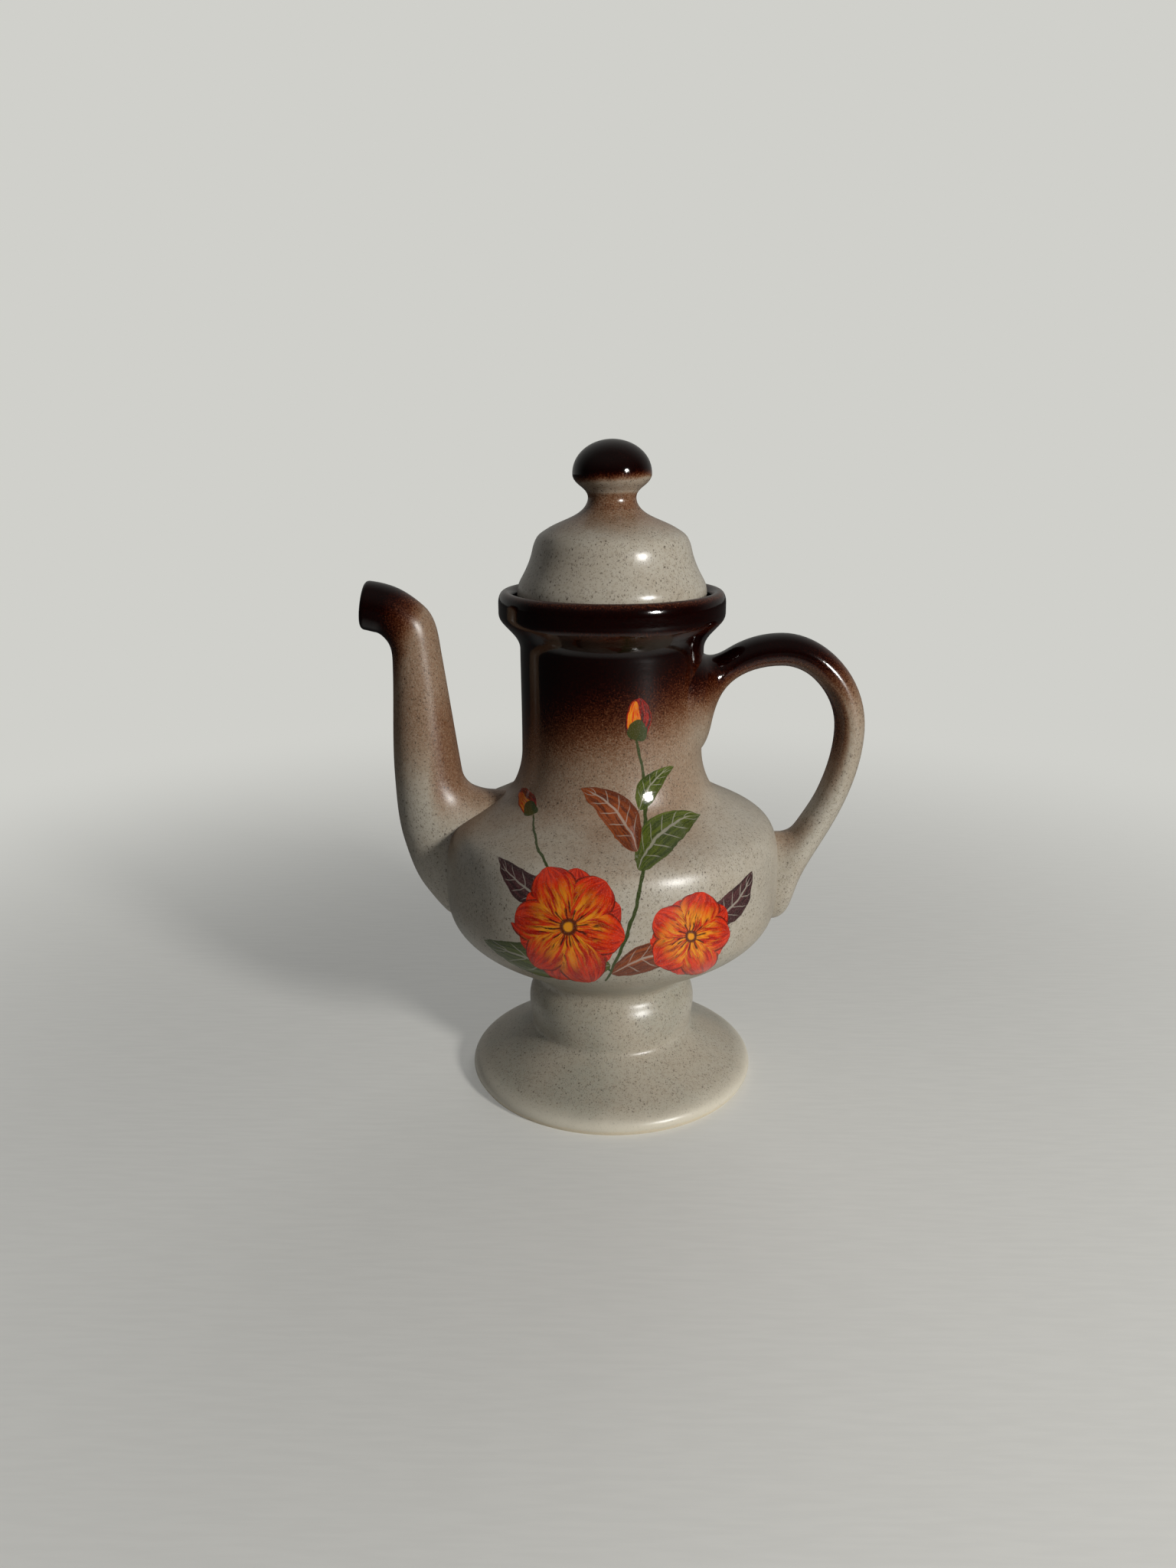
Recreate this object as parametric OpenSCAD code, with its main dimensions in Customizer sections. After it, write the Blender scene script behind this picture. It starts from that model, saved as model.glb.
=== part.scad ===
// Stoneware coffee pot on a pedestal foot, with a swan-neck spout, a loop handle and a lift-off lid.
// Origin at the middle of the foot's resting ring, +Z up, spout towards -X, handle towards +X. Millimetres.

/* [Pedestal] */
// Diameter of the foot across its rim
foot_d = 114; // [100:1:130]
// Height of the pedestal, from the table to the bowl
foot_h = 41.5; // [38:0.5:52]
// Thickness of the foot's rounded rim
rim_t = 6.5; // [4.5:0.5:8]
// Width of the ring that the foot rests on
rest_w = 5; // [3.5:0.5:7]
// Diameter of the stem at its waist, just under the bowl
stem_d = 60; // [50:1:70]
// How far the fat bead stands out from the stem
bead_out = 3.4; // [2:0.2:6]
// Height of the bead, from the cove below it to the waist above it
bead_h = 20; // [14:1:24]

/* [Bowl] */
// Diameter of the bowl at its widest
belly_d = 130.4; // [116:0.2:150]
// Height of the bowl, from the pedestal to the crease at the foot of the neck
bowl_h = 75.5; // [66:0.5:90]

/* [Neck and collar] */
// Diameter of the neck
neck_d = 69; // [62:1:76]
// Height of the neck, from the crease to the cove under the collar
neck_h = 57.5; // [44:0.5:75]
// How far the rolled collar stands out from the neck
collar_out = 7.8; // [6.4:0.2:10]
// Height of the collar with the cove under it
collar_h = 21.6; // [19:0.2:28]
// Thickness of the collar around the lid's gallery
collar_t = 5.6; // [4.4:0.2:6.6]
// Depth of the gallery's ledge below the top of the collar
gallery_depth = 6.5; // [5:0.5:10]

/* [Walls] */
// Wall of the bowl, the neck and the pedestal
wall = 5; // [3.5:0.5:6]
// Wall of the spout
spout_wall = 3.2; // [2.6:0.2:4]
// Wall of the lid and its flange
lid_wall = 4.4; // [3.4:0.2:5.4]

/* [Spout] */
// How far the middle of the mouth stands out beyond the bowl
mouth_out = 26.4; // [22:0.2:36]
// How far the middle of the mouth lies below the top of the collar
mouth_drop = 5.8; // [2:0.2:16]
// Outer diameter of the mouth
mouth_d = 18.4; // [15:0.2:22]
// How far the mouth's face is tipped up
mouth_tilt = 8; // [0:1:20]
// Outer diameter of the spout where it leaves the bowl
spout_d = 26; // [22:0.5:30]
// How far the spout's tube stands out beyond the bowl
spout_out = 19.2; // [16:0.2:22]
// Diameter of the hole in the bowl's wall behind the spout
pour_hole_d = 16; // [10:0.5:20]

/* [Handle] */
// How far the loop stands out beyond the bowl
handle_out = 31.4; // [26:0.2:42]
// Thickness of the handle in the plane of the loop
handle_t = 11.6; // [9:0.2:15]
// Width of the handle across the loop
handle_w = 16; // [12:0.5:22]
// How far the loop rises above its root on the neck
handle_rise = 5.2; // [3:0.1:10]
// Width of the handle's root where it spreads on the neck
root_w = 41; // [30:1:48]
// Width of the handle's tail, laid on the bowl
tail_w = 19; // [15:0.5:24]
// How far the tail's end lies below the widest part of the bowl
tail_drop = 22; // [16:0.5:28]

/* [Lid] */
// Height of the lid, from the gallery's ledge to the knob's seat
lid_h = 36; // [30:0.5:44]
// Gap around the lid's rim inside the gallery
lid_play = 1.6; // [0.8:0.1:2.4]
// Glaze gap between the lid's rim and the ledge
seat_gap = 0.2; // [0.1:0.05:0.5]
// How far the lid's flange hangs into the neck
flange_depth = 10; // [6:0.5:16]
// Gap around the flange inside the neck
flange_play = 1.2; // [0.8:0.1:2]

/* [Knob] */
// Diameter of the knob
knob_d = 28.9; // [24:0.1:34]
// Diameter of the knob's stem
knob_stem_d = 17.7; // [14:0.1:20]
// Height of the knob above its seat
knob_h = 24.2; // [20:0.2:30]

/* [Hidden] */
$fn = 96;

foot_r = foot_d / 2;
stem_r = stem_d / 2;
bead_r = stem_r + bead_out;
belly_r = belly_d / 2;
neck_r = neck_d / 2;
crease_r = neck_r + 7.9;
collar_r = neck_r + collar_out;
gallery_r = collar_r - collar_t;
mouth_r = neck_r - wall;

belly_z = foot_h + 0.6 * bowl_h;
crease_z = foot_h + bowl_h;
cove_z = crease_z + neck_h;
rim_z = cove_z + collar_h;
ledge_z = rim_z - gallery_depth;
seat_z = ledge_z + seat_gap;
knob_z = ledge_z + lid_h;
pour_hole_z = belly_z + 4;

lid_r = gallery_r - lid_play;
flange_r = mouth_r - flange_play;
knob_r = knob_d / 2;
knob_stem_r = knob_stem_d / 2;
knob_seat_r = knob_stem_r + 1.55;

// Segments along each stretch of a profile and of a swept rail, and around a swept ring
PROFILE_STEPS = 6;
RAIL_STEPS = 4;
RING_SIDES = 32;
LIP_STEPS = 4;

// ---- Curves ----
// A station is [distance from the axis, height, heading]: heading 0 points away from the axis, 90 up.

function dir(a) = [cos(a), sin(a)];
function turn(a, b) = abs((b - a + 540) % 360 - 180);

// Length of the Bezier arms between two stations, which makes a steady turn a circular arc
function arm(p, q) =
    let (chord = norm([q.x - p.x, q.y - p.y]), t = turn(p[2], q[2]))
    t < 1 ? chord / 3 : chord * 2 / 3 * tan(t / 4) / sin(t / 2);

// Point on the curve between two stations
function on_span(p, q, u) =
    let (h = arm(p, q), a = [p.x, p.y], d = [q.x, q.y], b = a + h * dir(p[2]), c = d - h * dir(q[2]))
    pow(1 - u, 3) * a + 3 * pow(1 - u, 2) * u * b + 3 * (1 - u) * u * u * c + pow(u, 3) * d;

// Smooth curve through all stations, tangent to each heading
function flow(s, steps) = [
    for (i = [0 : len(s) - 2], k = [0 : steps - 1]) on_span(s[i], s[i + 1], k / steps),
    [s[len(s) - 1].x, s[len(s) - 1].y]
];

// The station moved sideways by t, to the left of its heading
function beside(s, t) = [s.x - t * sin(s[2]), s.y + t * cos(s[2]), s[2]];

// Smooth run of single values through v, one for each point that flow() makes
function blend(v, steps) = [
    for (i = [0 : len(v) - 2], k = [0 : steps - 1])
        let (u = k / steps, a = v[max(i - 1, 0)], b = v[i], c = v[i + 1], d = v[min(i + 2, len(v) - 1)])
        b + u * ((c - a) / 2 + u * (a - 2.5 * b + 2 * c - d / 2 + u * (1.5 * (b - c) + (d - a) / 2))),
    v[len(v) - 1]
];

// ---- Outlines of the turned pieces ----

foot_outside = [
    [foot_r - 1.4, 0, 60],                          // edge of the resting ring
    [foot_r, 0.44 * rim_t, 90],                     // rim
    [foot_r - 0.4 * rim_t, rim_t, 150],             // top of the rim
    [stem_r + 4, foot_h - bead_h - 2.8, 140],       // bottom of the cove
    [stem_r + 2.4, foot_h - bead_h, 84],            // cove meets the bead
    [bead_r, foot_h - 0.52 * bead_h, 90],           // bead
    [stem_r + 0.4 * bead_out, foot_h - 3.4, 122],   // top of the bead
    [stem_r, foot_h, 90],                           // waist
];
foot_inside = [
    [foot_r - 1.4 - rest_w, 0, 100],                // inner edge of the resting ring
    beside(foot_outside[2], wall),
    beside(foot_outside[3], wall),
    [stem_r - wall, foot_h - bead_h, 90],           // bore of the stem
];

shoulder_edge = [belly_r - 4.8, foot_h + 0.87 * bowl_h, 140];
bowl_outside = [
    [stem_r + 6.5, foot_h + 7.5, 38],               // bowl spreads from the waist
    [belly_r - 10.2, foot_h + 0.25 * bowl_h, 36],   // underside
    [belly_r - 2.3, foot_h + 0.362 * bowl_h, 62],
    [belly_r, belly_z, 90],                         // widest
    [belly_r - 0.7, foot_h + 0.757 * bowl_h, 100],
    shoulder_edge,
    [(shoulder_edge.x + crease_r) / 2, foot_h + 0.937 * bowl_h, 153],
    [crease_r, crease_z, 150],                      // crease at the foot of the neck
    [neck_r + 2.6, crease_z + 6.6, 113],
    [neck_r, crease_z + 18.5, 91],
    [neck_r, cove_z, 90],                           // top of the neck
];
collar_outside = [
    [neck_r, cove_z, 90],
    [neck_r + 0.33 * collar_out, cove_z + 0.275 * collar_h, 50],  // cove
    [collar_r - 1.2, cove_z + 0.48 * collar_h, 50],               // underside of the roll
    [collar_r, cove_z + 0.626 * collar_h, 90],                    // band
    [collar_r, rim_z - 0.8 * collar_t, 90],
    [collar_r - collar_t / 2, rim_z, 180],                        // top of the roll
    [gallery_r, rim_z - collar_t / 2, 270],                       // inner edge, above the ledge
];

crown = [knob_seat_r, knob_z, 131];
lid_outside = [
    [lid_r, seat_z, 90],                            // rim
    [lid_r, seat_z + 6.4, 93],
    [lid_r - 2.1, seat_z + 11.8, 119],              // flare above the rim
    [lid_r - 5.8, seat_z + 0.59 * lid_h, 102],      // waist of the dome
    [lid_r - 7.3, seat_z + 0.7 * lid_h, 120],       // edge of the dome
    [lid_r - 11.1, seat_z + 0.788 * lid_h, 148],
    [(lid_r - 4.2) / 2, knob_z - 3.4, 155],         // crown
    crown,
];
knob_outside = [
    crown,
    [knob_stem_r, knob_z + 0.157 * knob_h, 90],             // stem
    [knob_stem_r + 2.75, knob_z + 0.322 * knob_h, 38],      // underside
    [knob_r, knob_z + knob_h / 2, 90],                      // widest
    [0, knob_z + knob_h, 180],                              // top
];

// ---- Rails of the spout and the handle, in the plane of the axis ----
// Each piece is swept between two rails. Its rings stand on matching points of the two, and each ring
// has a half-width across the plane.

// How deep the roots run into the walls before they are cut to the pot
root_in = 8;

mouth = [belly_r + mouth_out, rim_z - mouth_drop];
face = mouth_d / 2 * dir(90 + mouth_tilt);
tube_out = belly_r + spout_out;                     // far side of the spout where it leaves the bowl
tube_in = tube_out - spout_d;                       // pot's side of the spout there
saddle = tube_in - crease_r;                        // from there to the crease

spout_far = [                                       // away from the pot
    [mouth.x - face.x, mouth.y - face.y, 182 + mouth_tilt],
    [mouth.x - 2.6, mouth.y - mouth_d / 2 - 0.8, 190],
    [mouth.x - 6.6, mouth.y - mouth_d / 2 - 3.7, 232],      // throat under the mouth
    [mouth.x - 8.5, mouth.y - 22.5, 271],
    [tube_out, crease_z + 6.5, 268],
    [belly_r + 0.865 * spout_out, belly_z + 11.2, 255],
    [belly_r + 0.484 * spout_out, belly_z - 7.8, 236],
    [belly_r + 1.6, belly_z - 18, 228],                     // root under the bowl's side
    [belly_r - 5.2, belly_z - 22.6, 205],
    [belly_r - root_in - 4, belly_z - 23.5, 180],           // end, inside the wall
];
spout_near = [                                      // towards the pot
    [mouth.x + face.x, mouth.y + face.y, 179 + mouth_tilt],
    [mouth.x - 9.3, mouth.y + mouth_d / 2 - 1.9, 199],
    [mouth.x - 21, mouth.y - 0.2, 222],                     // shoulder of the bend
    [mouth.x - 27.1, mouth.y - 19, 262],
    [tube_in, crease_z + 9, 262],
    [crease_r + 0.69 * saddle, crease_z + 2.4, 200],        // saddle
    [crease_r + 0.29 * saddle, crease_z + 1.1, 180],
    [crease_r, crease_z + 1, 180],
    [crease_r - root_in / 2, crease_z + 1, 180],
    [crease_r - root_in, crease_z + 1, 180],
];
mouth_hw = mouth_d / 2;
spout_hw = spout_d / 2;
spout_half_widths = [mouth_hw, mouth_hw + 0.1, mouth_hw + 0.3, mouth_hw + 0.6, spout_hw - 0.2,
    spout_hw + 1.2, spout_hw + 2.2, spout_hw + 2, spout_hw + 1, spout_hw];

tail_z = belly_z - tail_drop;                       // lower end of the handle's tail
loop_z = cove_z + handle_rise;                      // top of the loop
function loop_at(share) = tail_z + share * (loop_z - tail_z);
loop_top = [belly_r - 1.2, loop_z, 0];
loop_shoulder = [belly_r + 0.612 * handle_out, loop_at(0.923), -43];
loop_side = [belly_r + handle_out, loop_at(0.678), -90];
loop_low = [belly_r + 0.806 * handle_out, loop_at(0.43), -112];

handle_outer = [
    [neck_r - root_in, cove_z + 4, -52],            // root, inside the neck's wall
    [neck_r + 0.5, cove_z - 2.8, -30],              // fillet at the neck
    [neck_r + 0.43 * handle_t, cove_z - 2.8, 18],
    [neck_r + 1.03 * handle_t, cove_z + 0.9, 28],
    loop_top,
    loop_shoulder,
    loop_side,
    loop_low,
    [belly_r + 0.471 * handle_out, loop_at(0.249), -119],
    [belly_r + 0.724 * handle_t, loop_at(0.132), -108],     // tail, laid on the bowl
    [belly_r + 0.448 * handle_t, loop_at(0.044), -112],
    [belly_r - 1.2, tail_z, -178],                  // lip at the tail's end
    [belly_r - root_in, tail_z, -180],
];
handle_inner = [
    [neck_r - root_in, loop_at(0.565), 50],
    [neck_r + 0.3, loop_at(0.62), 58],              // lower end of the root
    [neck_r + 0.267 * handle_t, loop_at(0.69), 82],
    [neck_r + 0.603 * handle_t, loop_at(0.8), 60],
    beside(loop_top, -handle_t - 0.6),
    beside(loop_shoulder, -handle_t),
    beside(loop_side, -handle_t + 0.4),
    beside(loop_low, -handle_t + 0.4),
    [belly_r + 0.7 * handle_t, loop_at(0.359), -122],
    [belly_r + 0.345 * handle_t, loop_at(0.322), -160],     // crotch between the handle and the bowl
    [belly_r + 0.8, loop_at(0.316), -180],
    [belly_r - root_in / 2, loop_at(0.316), -180],
    [belly_r - root_in, loop_at(0.316), -180],
];
handle_hw = handle_w / 2;
root_hw = root_w / 2;
tail_hw = tail_w / 2;
handle_half_widths = [root_hw, 0.8 * root_hw, 0.54 * root_hw, 1.07 * handle_hw, handle_hw, handle_hw,
    handle_hw, handle_hw, (handle_hw + tail_hw) / 2, tail_hw, tail_hw, tail_hw - 0.6, handle_hw];
// How much wider the rings are at the outer rail: the upper root is a drop that narrows downwards
handle_drop = [0.25, 0.25, 0.15, 0.05, 0, 0, 0, 0, 0, 0, 0, 0, 0];

// ---- Swept rings ----

// A ring in space on the points a and b of the two rails
function ring(a, b, half_width, drop = 0) = [
    for (k = [0 : RING_SIDES - 1])
        let (t = 360 * k / RING_SIDES, p = (a + b) / 2 + (a - b) / 2 * cos(t))
        [p.x, half_width * sin(t) * (1 + drop * cos(t)), p.y]
];

// The same ring, drawn in by t on every side and moved by shift
function inner_ring(a, b, half_width, t, shift = [0, 0]) =
    let (u = (a - b) / norm(a - b))
    ring(a - t * u + shift, b + t * u + shift, half_width - t);

// Closed skin over a list of rings: a looped one joins its last ring to its first and has no caps
module skin(rings, looped = false) {
    n = RING_SIDES;
    last = len(rings) - 1;
    bands = [for (i = [0 : looped ? last : last - 1], k = [0 : n - 1])
        let (j = (i + 1) % (last + 1), a = i * n + k, b = i * n + (k + 1) % n,
            c = j * n + (k + 1) % n, d = j * n + k)
        each [[a, b, c], [a, c, d]]];
    caps = looped ? [] : [[for (k = [n - 1 : -1 : 0]) k], [for (k = [0 : n - 1]) last * n + k]];
    polyhedron(points = [for (r = rings) each r], faces = concat(bands, caps), convexity = 6);
}

// ---- Pieces ----

// Outer profile of the bowl, the neck and the collar
function body_outside() = concat(
    flow(concat([[stem_r, foot_h, 90]], bowl_outside), PROFILE_STEPS),
    flow(collar_outside, PROFILE_STEPS));

// That shape filled in: the spout and the handle are cut to sit on it
module body_blank() {
    rotate_extrude() polygon(concat([[0, foot_h]], body_outside(), [[0, rim_z - collar_t / 2]]));
}

// The bowl, the neck and the collar in one, with the gallery's ledge and the pouring hole
module pot_body() {
    floor_edge = [stem_r - 8, foot_h + wall, 0];
    inside = flow(concat([floor_edge], [for (s = bowl_outside) beside(s, wall)]), PROFILE_STEPS);
    color("#b9afa2") difference() {
        rotate_extrude() polygon(concat(
            [[0, foot_h]], body_outside(), [[gallery_r, ledge_z], [mouth_r, ledge_z]],
            [for (i = [len(inside) - 1 : -1 : 0]) inside[i]], [[0, foot_h + wall]]));
        translate([-belly_r / 2, 0, pour_hole_z]) rotate([0, -90, 0])
            cylinder(d = pour_hole_d, h = belly_r);
    }
}

// The hollow foot, turned in one with its bead
module pedestal_foot() {
    inside = concat(flow(foot_inside, PROFILE_STEPS), [[stem_r - wall, foot_h]]);
    color("#b4ab9d") rotate_extrude() polygon(concat(
        flow(foot_outside, PROFILE_STEPS), [for (i = [len(inside) - 1 : -1 : 0]) inside[i]]));
}

// The hollow spout, cut to the bowl
module spout() {
    far = flow(spout_far, RAIL_STEPS);
    near = flow(spout_near, RAIL_STEPS);
    widths = blend(spout_half_widths, RAIL_STEPS);
    last = len(far) - 1;
    lip = spout_wall / 2;
    outer = [for (i = [last : -1 : 0]) ring(far[i], near[i], widths[i])];
    lip_rings = [for (k = [1 : LIP_STEPS - 1])
        let (t = 180 * k / LIP_STEPS)
        inner_ring(far[0], near[0], widths[0], lip * (1 - cos(t)), lip * sin(t) * dir(mouth_tilt))];
    inner = [for (i = [0 : last]) inner_ring(far[i], near[i], widths[i], spout_wall)];
    color("#8d6f5b") difference() {
        rotate([0, 0, 180]) skin(concat(outer, lip_rings, inner), looped = true);
        body_blank();
    }
}

// The loop handle, cut to the neck and the bowl
module handle() {
    outer = flow(handle_outer, RAIL_STEPS);
    inner = flow(handle_inner, RAIL_STEPS);
    widths = blend(handle_half_widths, RAIL_STEPS);
    drops = blend(handle_drop, RAIL_STEPS);
    color("#6b4a38") difference() {
        skin([for (i = [0 : len(outer) - 1]) ring(outer[i], inner[i], widths[i], drops[i])]);
        body_blank();
    }
}

// The hollow lid, with its rim in the gallery and its flange hanging into the neck
module lid() {
    outside = flow(lid_outside, PROFILE_STEPS);
    bore_r = flange_r - lid_wall;
    inside = flow(concat([[bore_r, seat_z - flange_depth, 90], [bore_r, seat_z, 90]],
        [for (i = [3 : len(lid_outside) - 1]) beside(lid_outside[i], lid_wall)]), PROFILE_STEPS);
    color("#bdb4a7") rotate_extrude() polygon(concat(
        [[flange_r, seat_z - flange_depth], [flange_r, seat_z]], outside, [[0, knob_z]],
        [[0, inside[len(inside) - 1].y]], [for (i = [len(inside) - 1 : -1 : 0]) inside[i]]));
}

// The mushroom knob, stuck on the crown of the lid
module lid_knob() {
    color("#3a2019") rotate_extrude() polygon(concat([[0, knob_z]], flow(knob_outside, PROFILE_STEPS)));
}

pot_body();
pedestal_foot();
spout();
handle();
lid();
lid_knob();
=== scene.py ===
"""Looks of the stoneware coffee pot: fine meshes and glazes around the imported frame, in a plain studio."""

import math

import bmesh
import bpy
import numpy as np
from mathutils import Matrix, Vector


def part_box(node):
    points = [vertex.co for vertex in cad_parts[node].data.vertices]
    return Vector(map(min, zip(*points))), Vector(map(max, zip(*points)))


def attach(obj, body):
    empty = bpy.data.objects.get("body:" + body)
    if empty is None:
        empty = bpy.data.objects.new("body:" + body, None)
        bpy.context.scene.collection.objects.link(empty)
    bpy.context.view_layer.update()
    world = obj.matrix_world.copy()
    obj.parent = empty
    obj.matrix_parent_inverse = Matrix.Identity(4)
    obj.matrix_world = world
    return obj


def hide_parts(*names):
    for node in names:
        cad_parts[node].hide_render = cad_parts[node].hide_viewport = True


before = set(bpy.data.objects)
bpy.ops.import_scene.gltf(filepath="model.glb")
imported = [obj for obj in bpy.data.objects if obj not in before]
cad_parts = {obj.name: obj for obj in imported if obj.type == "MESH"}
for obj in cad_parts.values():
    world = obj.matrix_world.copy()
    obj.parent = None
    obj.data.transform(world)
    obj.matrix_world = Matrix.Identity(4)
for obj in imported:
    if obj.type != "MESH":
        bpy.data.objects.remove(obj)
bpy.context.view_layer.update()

MM = 0.001


def top_of(node):
    """Height of a CAD node's top, in millimetres."""
    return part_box(node)[1][2] / MM


# ---- Sizes, in millimetres: the heights come from the frame, the rest repeat the part's own ----

FOOT_H = top_of("pedestal_foot")
RIM_Z = top_of("pot_body")
KNOB_Z = top_of("lid")
KNOB_TOP = top_of("lid_knob")

FOOT_R, BELLY_R, KNOB_R = 57.0, 65.19, 14.45
RIM_T, REST_W = 6.5, 5.0
STEM_R, BEAD_OUT, BEAD_H = 30.0, 3.4, 20.0
BEAD_R = STEM_R + BEAD_OUT
BOWL_H = 75.5
NECK_R = 34.5
CREASE_R = NECK_R + 7.9
COLLAR_OUT, COLLAR_H, COLLAR_T = 7.8, 21.6, 5.6
GALLERY_DEPTH, SEAT_GAP = 6.5, 0.2
WALL, SPOUT_WALL, LID_WALL = 5.0, 3.2, 4.4
LID_PLAY, FLANGE_DEPTH, FLANGE_PLAY = 1.6, 10.0, 1.2
KNOB_STEM_R = 8.85
POUR_HOLE_R, FLOOR_INSET = 8.0, 8.0

BELLY_Z = FOOT_H + 0.6 * BOWL_H
CREASE_Z = FOOT_H + BOWL_H
COVE_Z = RIM_Z - COLLAR_H
COLLAR_R = NECK_R + COLLAR_OUT
GALLERY_R = COLLAR_R - COLLAR_T
MOUTH_R = NECK_R - WALL
LEDGE_Z = RIM_Z - GALLERY_DEPTH
SEAT_Z = LEDGE_Z + SEAT_GAP
LID_H = KNOB_Z - LEDGE_Z
LID_R = GALLERY_R - LID_PLAY
FLANGE_R = MOUTH_R - FLANGE_PLAY
KNOB_H = KNOB_TOP - KNOB_Z
POUR_HOLE_Z = BELLY_Z + 4

MOUTH_X, MOUTH_Z = BELLY_R + 26.4, RIM_Z - 5.8
MOUTH_TUBE_R, MOUTH_TILT = 9.2, 8.0
SPOUT_HALF_W = 13.0
TUBE_OUT = BELLY_R + 19.2
TUBE_IN = TUBE_OUT - 2 * SPOUT_HALF_W
SADDLE = TUBE_IN - CREASE_R

HANDLE_OUT, HANDLE_T, HANDLE_HALF_W = 31.4, 11.6, 8.0
ROOT_HALF_W, TAIL_HALF_W, ROOT_IN = 20.5, 9.5, 8.0
TAIL_Z = BELLY_Z - 22
LOOP_Z = COVE_Z + 5.2

# Fineness of the meshes: points along each stretch of a profile or a rail, and around a ring
PROFILE_STEPS, RAIL_STEPS, TURN_SIDES, TUBE_SIDES = 12, 10, 240, 72
BLANK_SIDES, DRILL_SIDES, LIP_POINTS = 180, 48, 9

# Rounded corners: their reach, the largest share of a side that it takes, the points of the arc, and the
# cosine between the two sides under which a corner counts as straight
SOFT_CORNER, CORNER_SHARE, CORNER_POINTS, STRAIGHT = 0.8, 0.45, (0, 0.25, 0.5, 0.75, 1), -0.8

# Bend from which an edge stays sharp, depth to which spout and handle sink into the glaze of the pot, turn
# in radians under which a stretch is straight, and length under which two points are one
SHARP_ANGLE, SINK, NO_TURN, TINY = math.radians(50), 0.3, 0.02, 1e-6


# ---- Curves: a station is (distance from the axis, height, heading) ----

def heading(angle):
    """Unit vector along an angle in degrees."""
    return np.array([math.cos(math.radians(angle)), math.sin(math.radians(angle))])


def arm(p, q):
    """Length of the Bezier arms that turn steadily from one station to the next."""
    chord = math.hypot(q[0] - p[0], q[1] - p[1])
    turn = math.radians(abs((q[2] - p[2] + 540) % 360 - 180))
    return chord / 3 if turn < NO_TURN else chord * 2 / 3 * math.tan(turn / 4) / math.sin(turn / 2)


def on_span(p, q, u):
    """Point at the share u of the way from one station to the next."""
    reach = arm(p, q)
    a, d = np.array(p[:2]), np.array(q[:2])
    b, c = a + reach * heading(p[2]), d - reach * heading(q[2])
    return (1 - u) ** 3 * a + 3 * (1 - u) ** 2 * u * b + 3 * (1 - u) * u * u * c + u ** 3 * d


def flow(stations, steps):
    """Smooth curve through all stations, tangent to each heading."""
    points = [on_span(p, q, k / steps) for p, q in zip(stations, stations[1:]) for k in range(steps)]
    return points + [np.array(stations[-1][:2])]


def beside(station, t):
    """The station moved sideways by t, to the left of its heading."""
    x, z, angle = station
    return (x - t * math.sin(math.radians(angle)), z + t * math.cos(math.radians(angle)), angle)


def blended(values, steps):
    """Smooth run of single values, one for each point that flow() makes."""
    run = []
    for i in range(len(values) - 1):
        a, b, c = values[max(i - 1, 0)], values[i], values[i + 1]
        d = values[min(i + 2, len(values) - 1)]
        for k in range(steps):
            u = k / steps
            run.append(b + u * ((c - a) / 2 + u * (a - 2.5 * b + 2 * c - d / 2
                                                   + u * (1.5 * (b - c) + (d - a) / 2))))
    return run + [values[-1]]


def softened(outline, looped):
    """The outline with its sharp corners rounded, but for the one where body and foot meet flush."""
    points = [np.array(point) for point in outline]
    count = len(points)
    out = []
    for i, point in enumerate(points):
        a, b = points[i - 1] - point, points[(i + 1) % count] - point
        la, lb = np.linalg.norm(a), np.linalg.norm(b)
        kept = (not looped and i in (0, count - 1)) or np.allclose(point, (STEM_R, FOOT_H))
        if kept or min(la, lb) < TINY or np.dot(a, b) / (la * lb) < STRAIGHT:
            out.append(point)
            continue
        reach = min(SOFT_CORNER, CORNER_SHARE * la, CORNER_SHARE * lb)
        start, end = point + a / la * reach, point + b / lb * reach
        for u in CORNER_POINTS:
            out.append((1 - u) ** 2 * start + 2 * u * (1 - u) * point + u * u * end)
    return out


# ---- Outlines of the turned pieces ----

FOOT_OUTSIDE = [
    (FOOT_R - 1.4, 0, 60),
    (FOOT_R, 0.44 * RIM_T, 90),
    (FOOT_R - 0.4 * RIM_T, RIM_T, 150),
    (STEM_R + 4, FOOT_H - BEAD_H - 2.8, 140),
    (STEM_R + 2.4, FOOT_H - BEAD_H, 84),
    (BEAD_R, FOOT_H - 0.52 * BEAD_H, 90),
    (STEM_R + 0.4 * BEAD_OUT, FOOT_H - 3.4, 122),
    (STEM_R, FOOT_H, 90),
]
FOOT_INSIDE = [
    (FOOT_R - 1.4 - REST_W, 0, 100),
    beside(FOOT_OUTSIDE[2], WALL),
    beside(FOOT_OUTSIDE[3], WALL),
    (STEM_R - WALL, FOOT_H - BEAD_H, 90),
]
SHOULDER_EDGE = (BELLY_R - 4.8, FOOT_H + 0.87 * BOWL_H, 140)
BOWL_OUTSIDE = [
    (STEM_R + 6.5, FOOT_H + 7.5, 38),
    (BELLY_R - 10.2, FOOT_H + 0.25 * BOWL_H, 36),
    (BELLY_R - 2.3, FOOT_H + 0.362 * BOWL_H, 62),
    (BELLY_R, BELLY_Z, 90),
    (BELLY_R - 0.7, FOOT_H + 0.757 * BOWL_H, 100),
    SHOULDER_EDGE,
    ((SHOULDER_EDGE[0] + CREASE_R) / 2, FOOT_H + 0.937 * BOWL_H, 153),
    (CREASE_R, CREASE_Z, 150),
    (NECK_R + 2.6, CREASE_Z + 6.6, 113),
    (NECK_R, CREASE_Z + 18.5, 91),
    (NECK_R, COVE_Z, 90),
]
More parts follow.
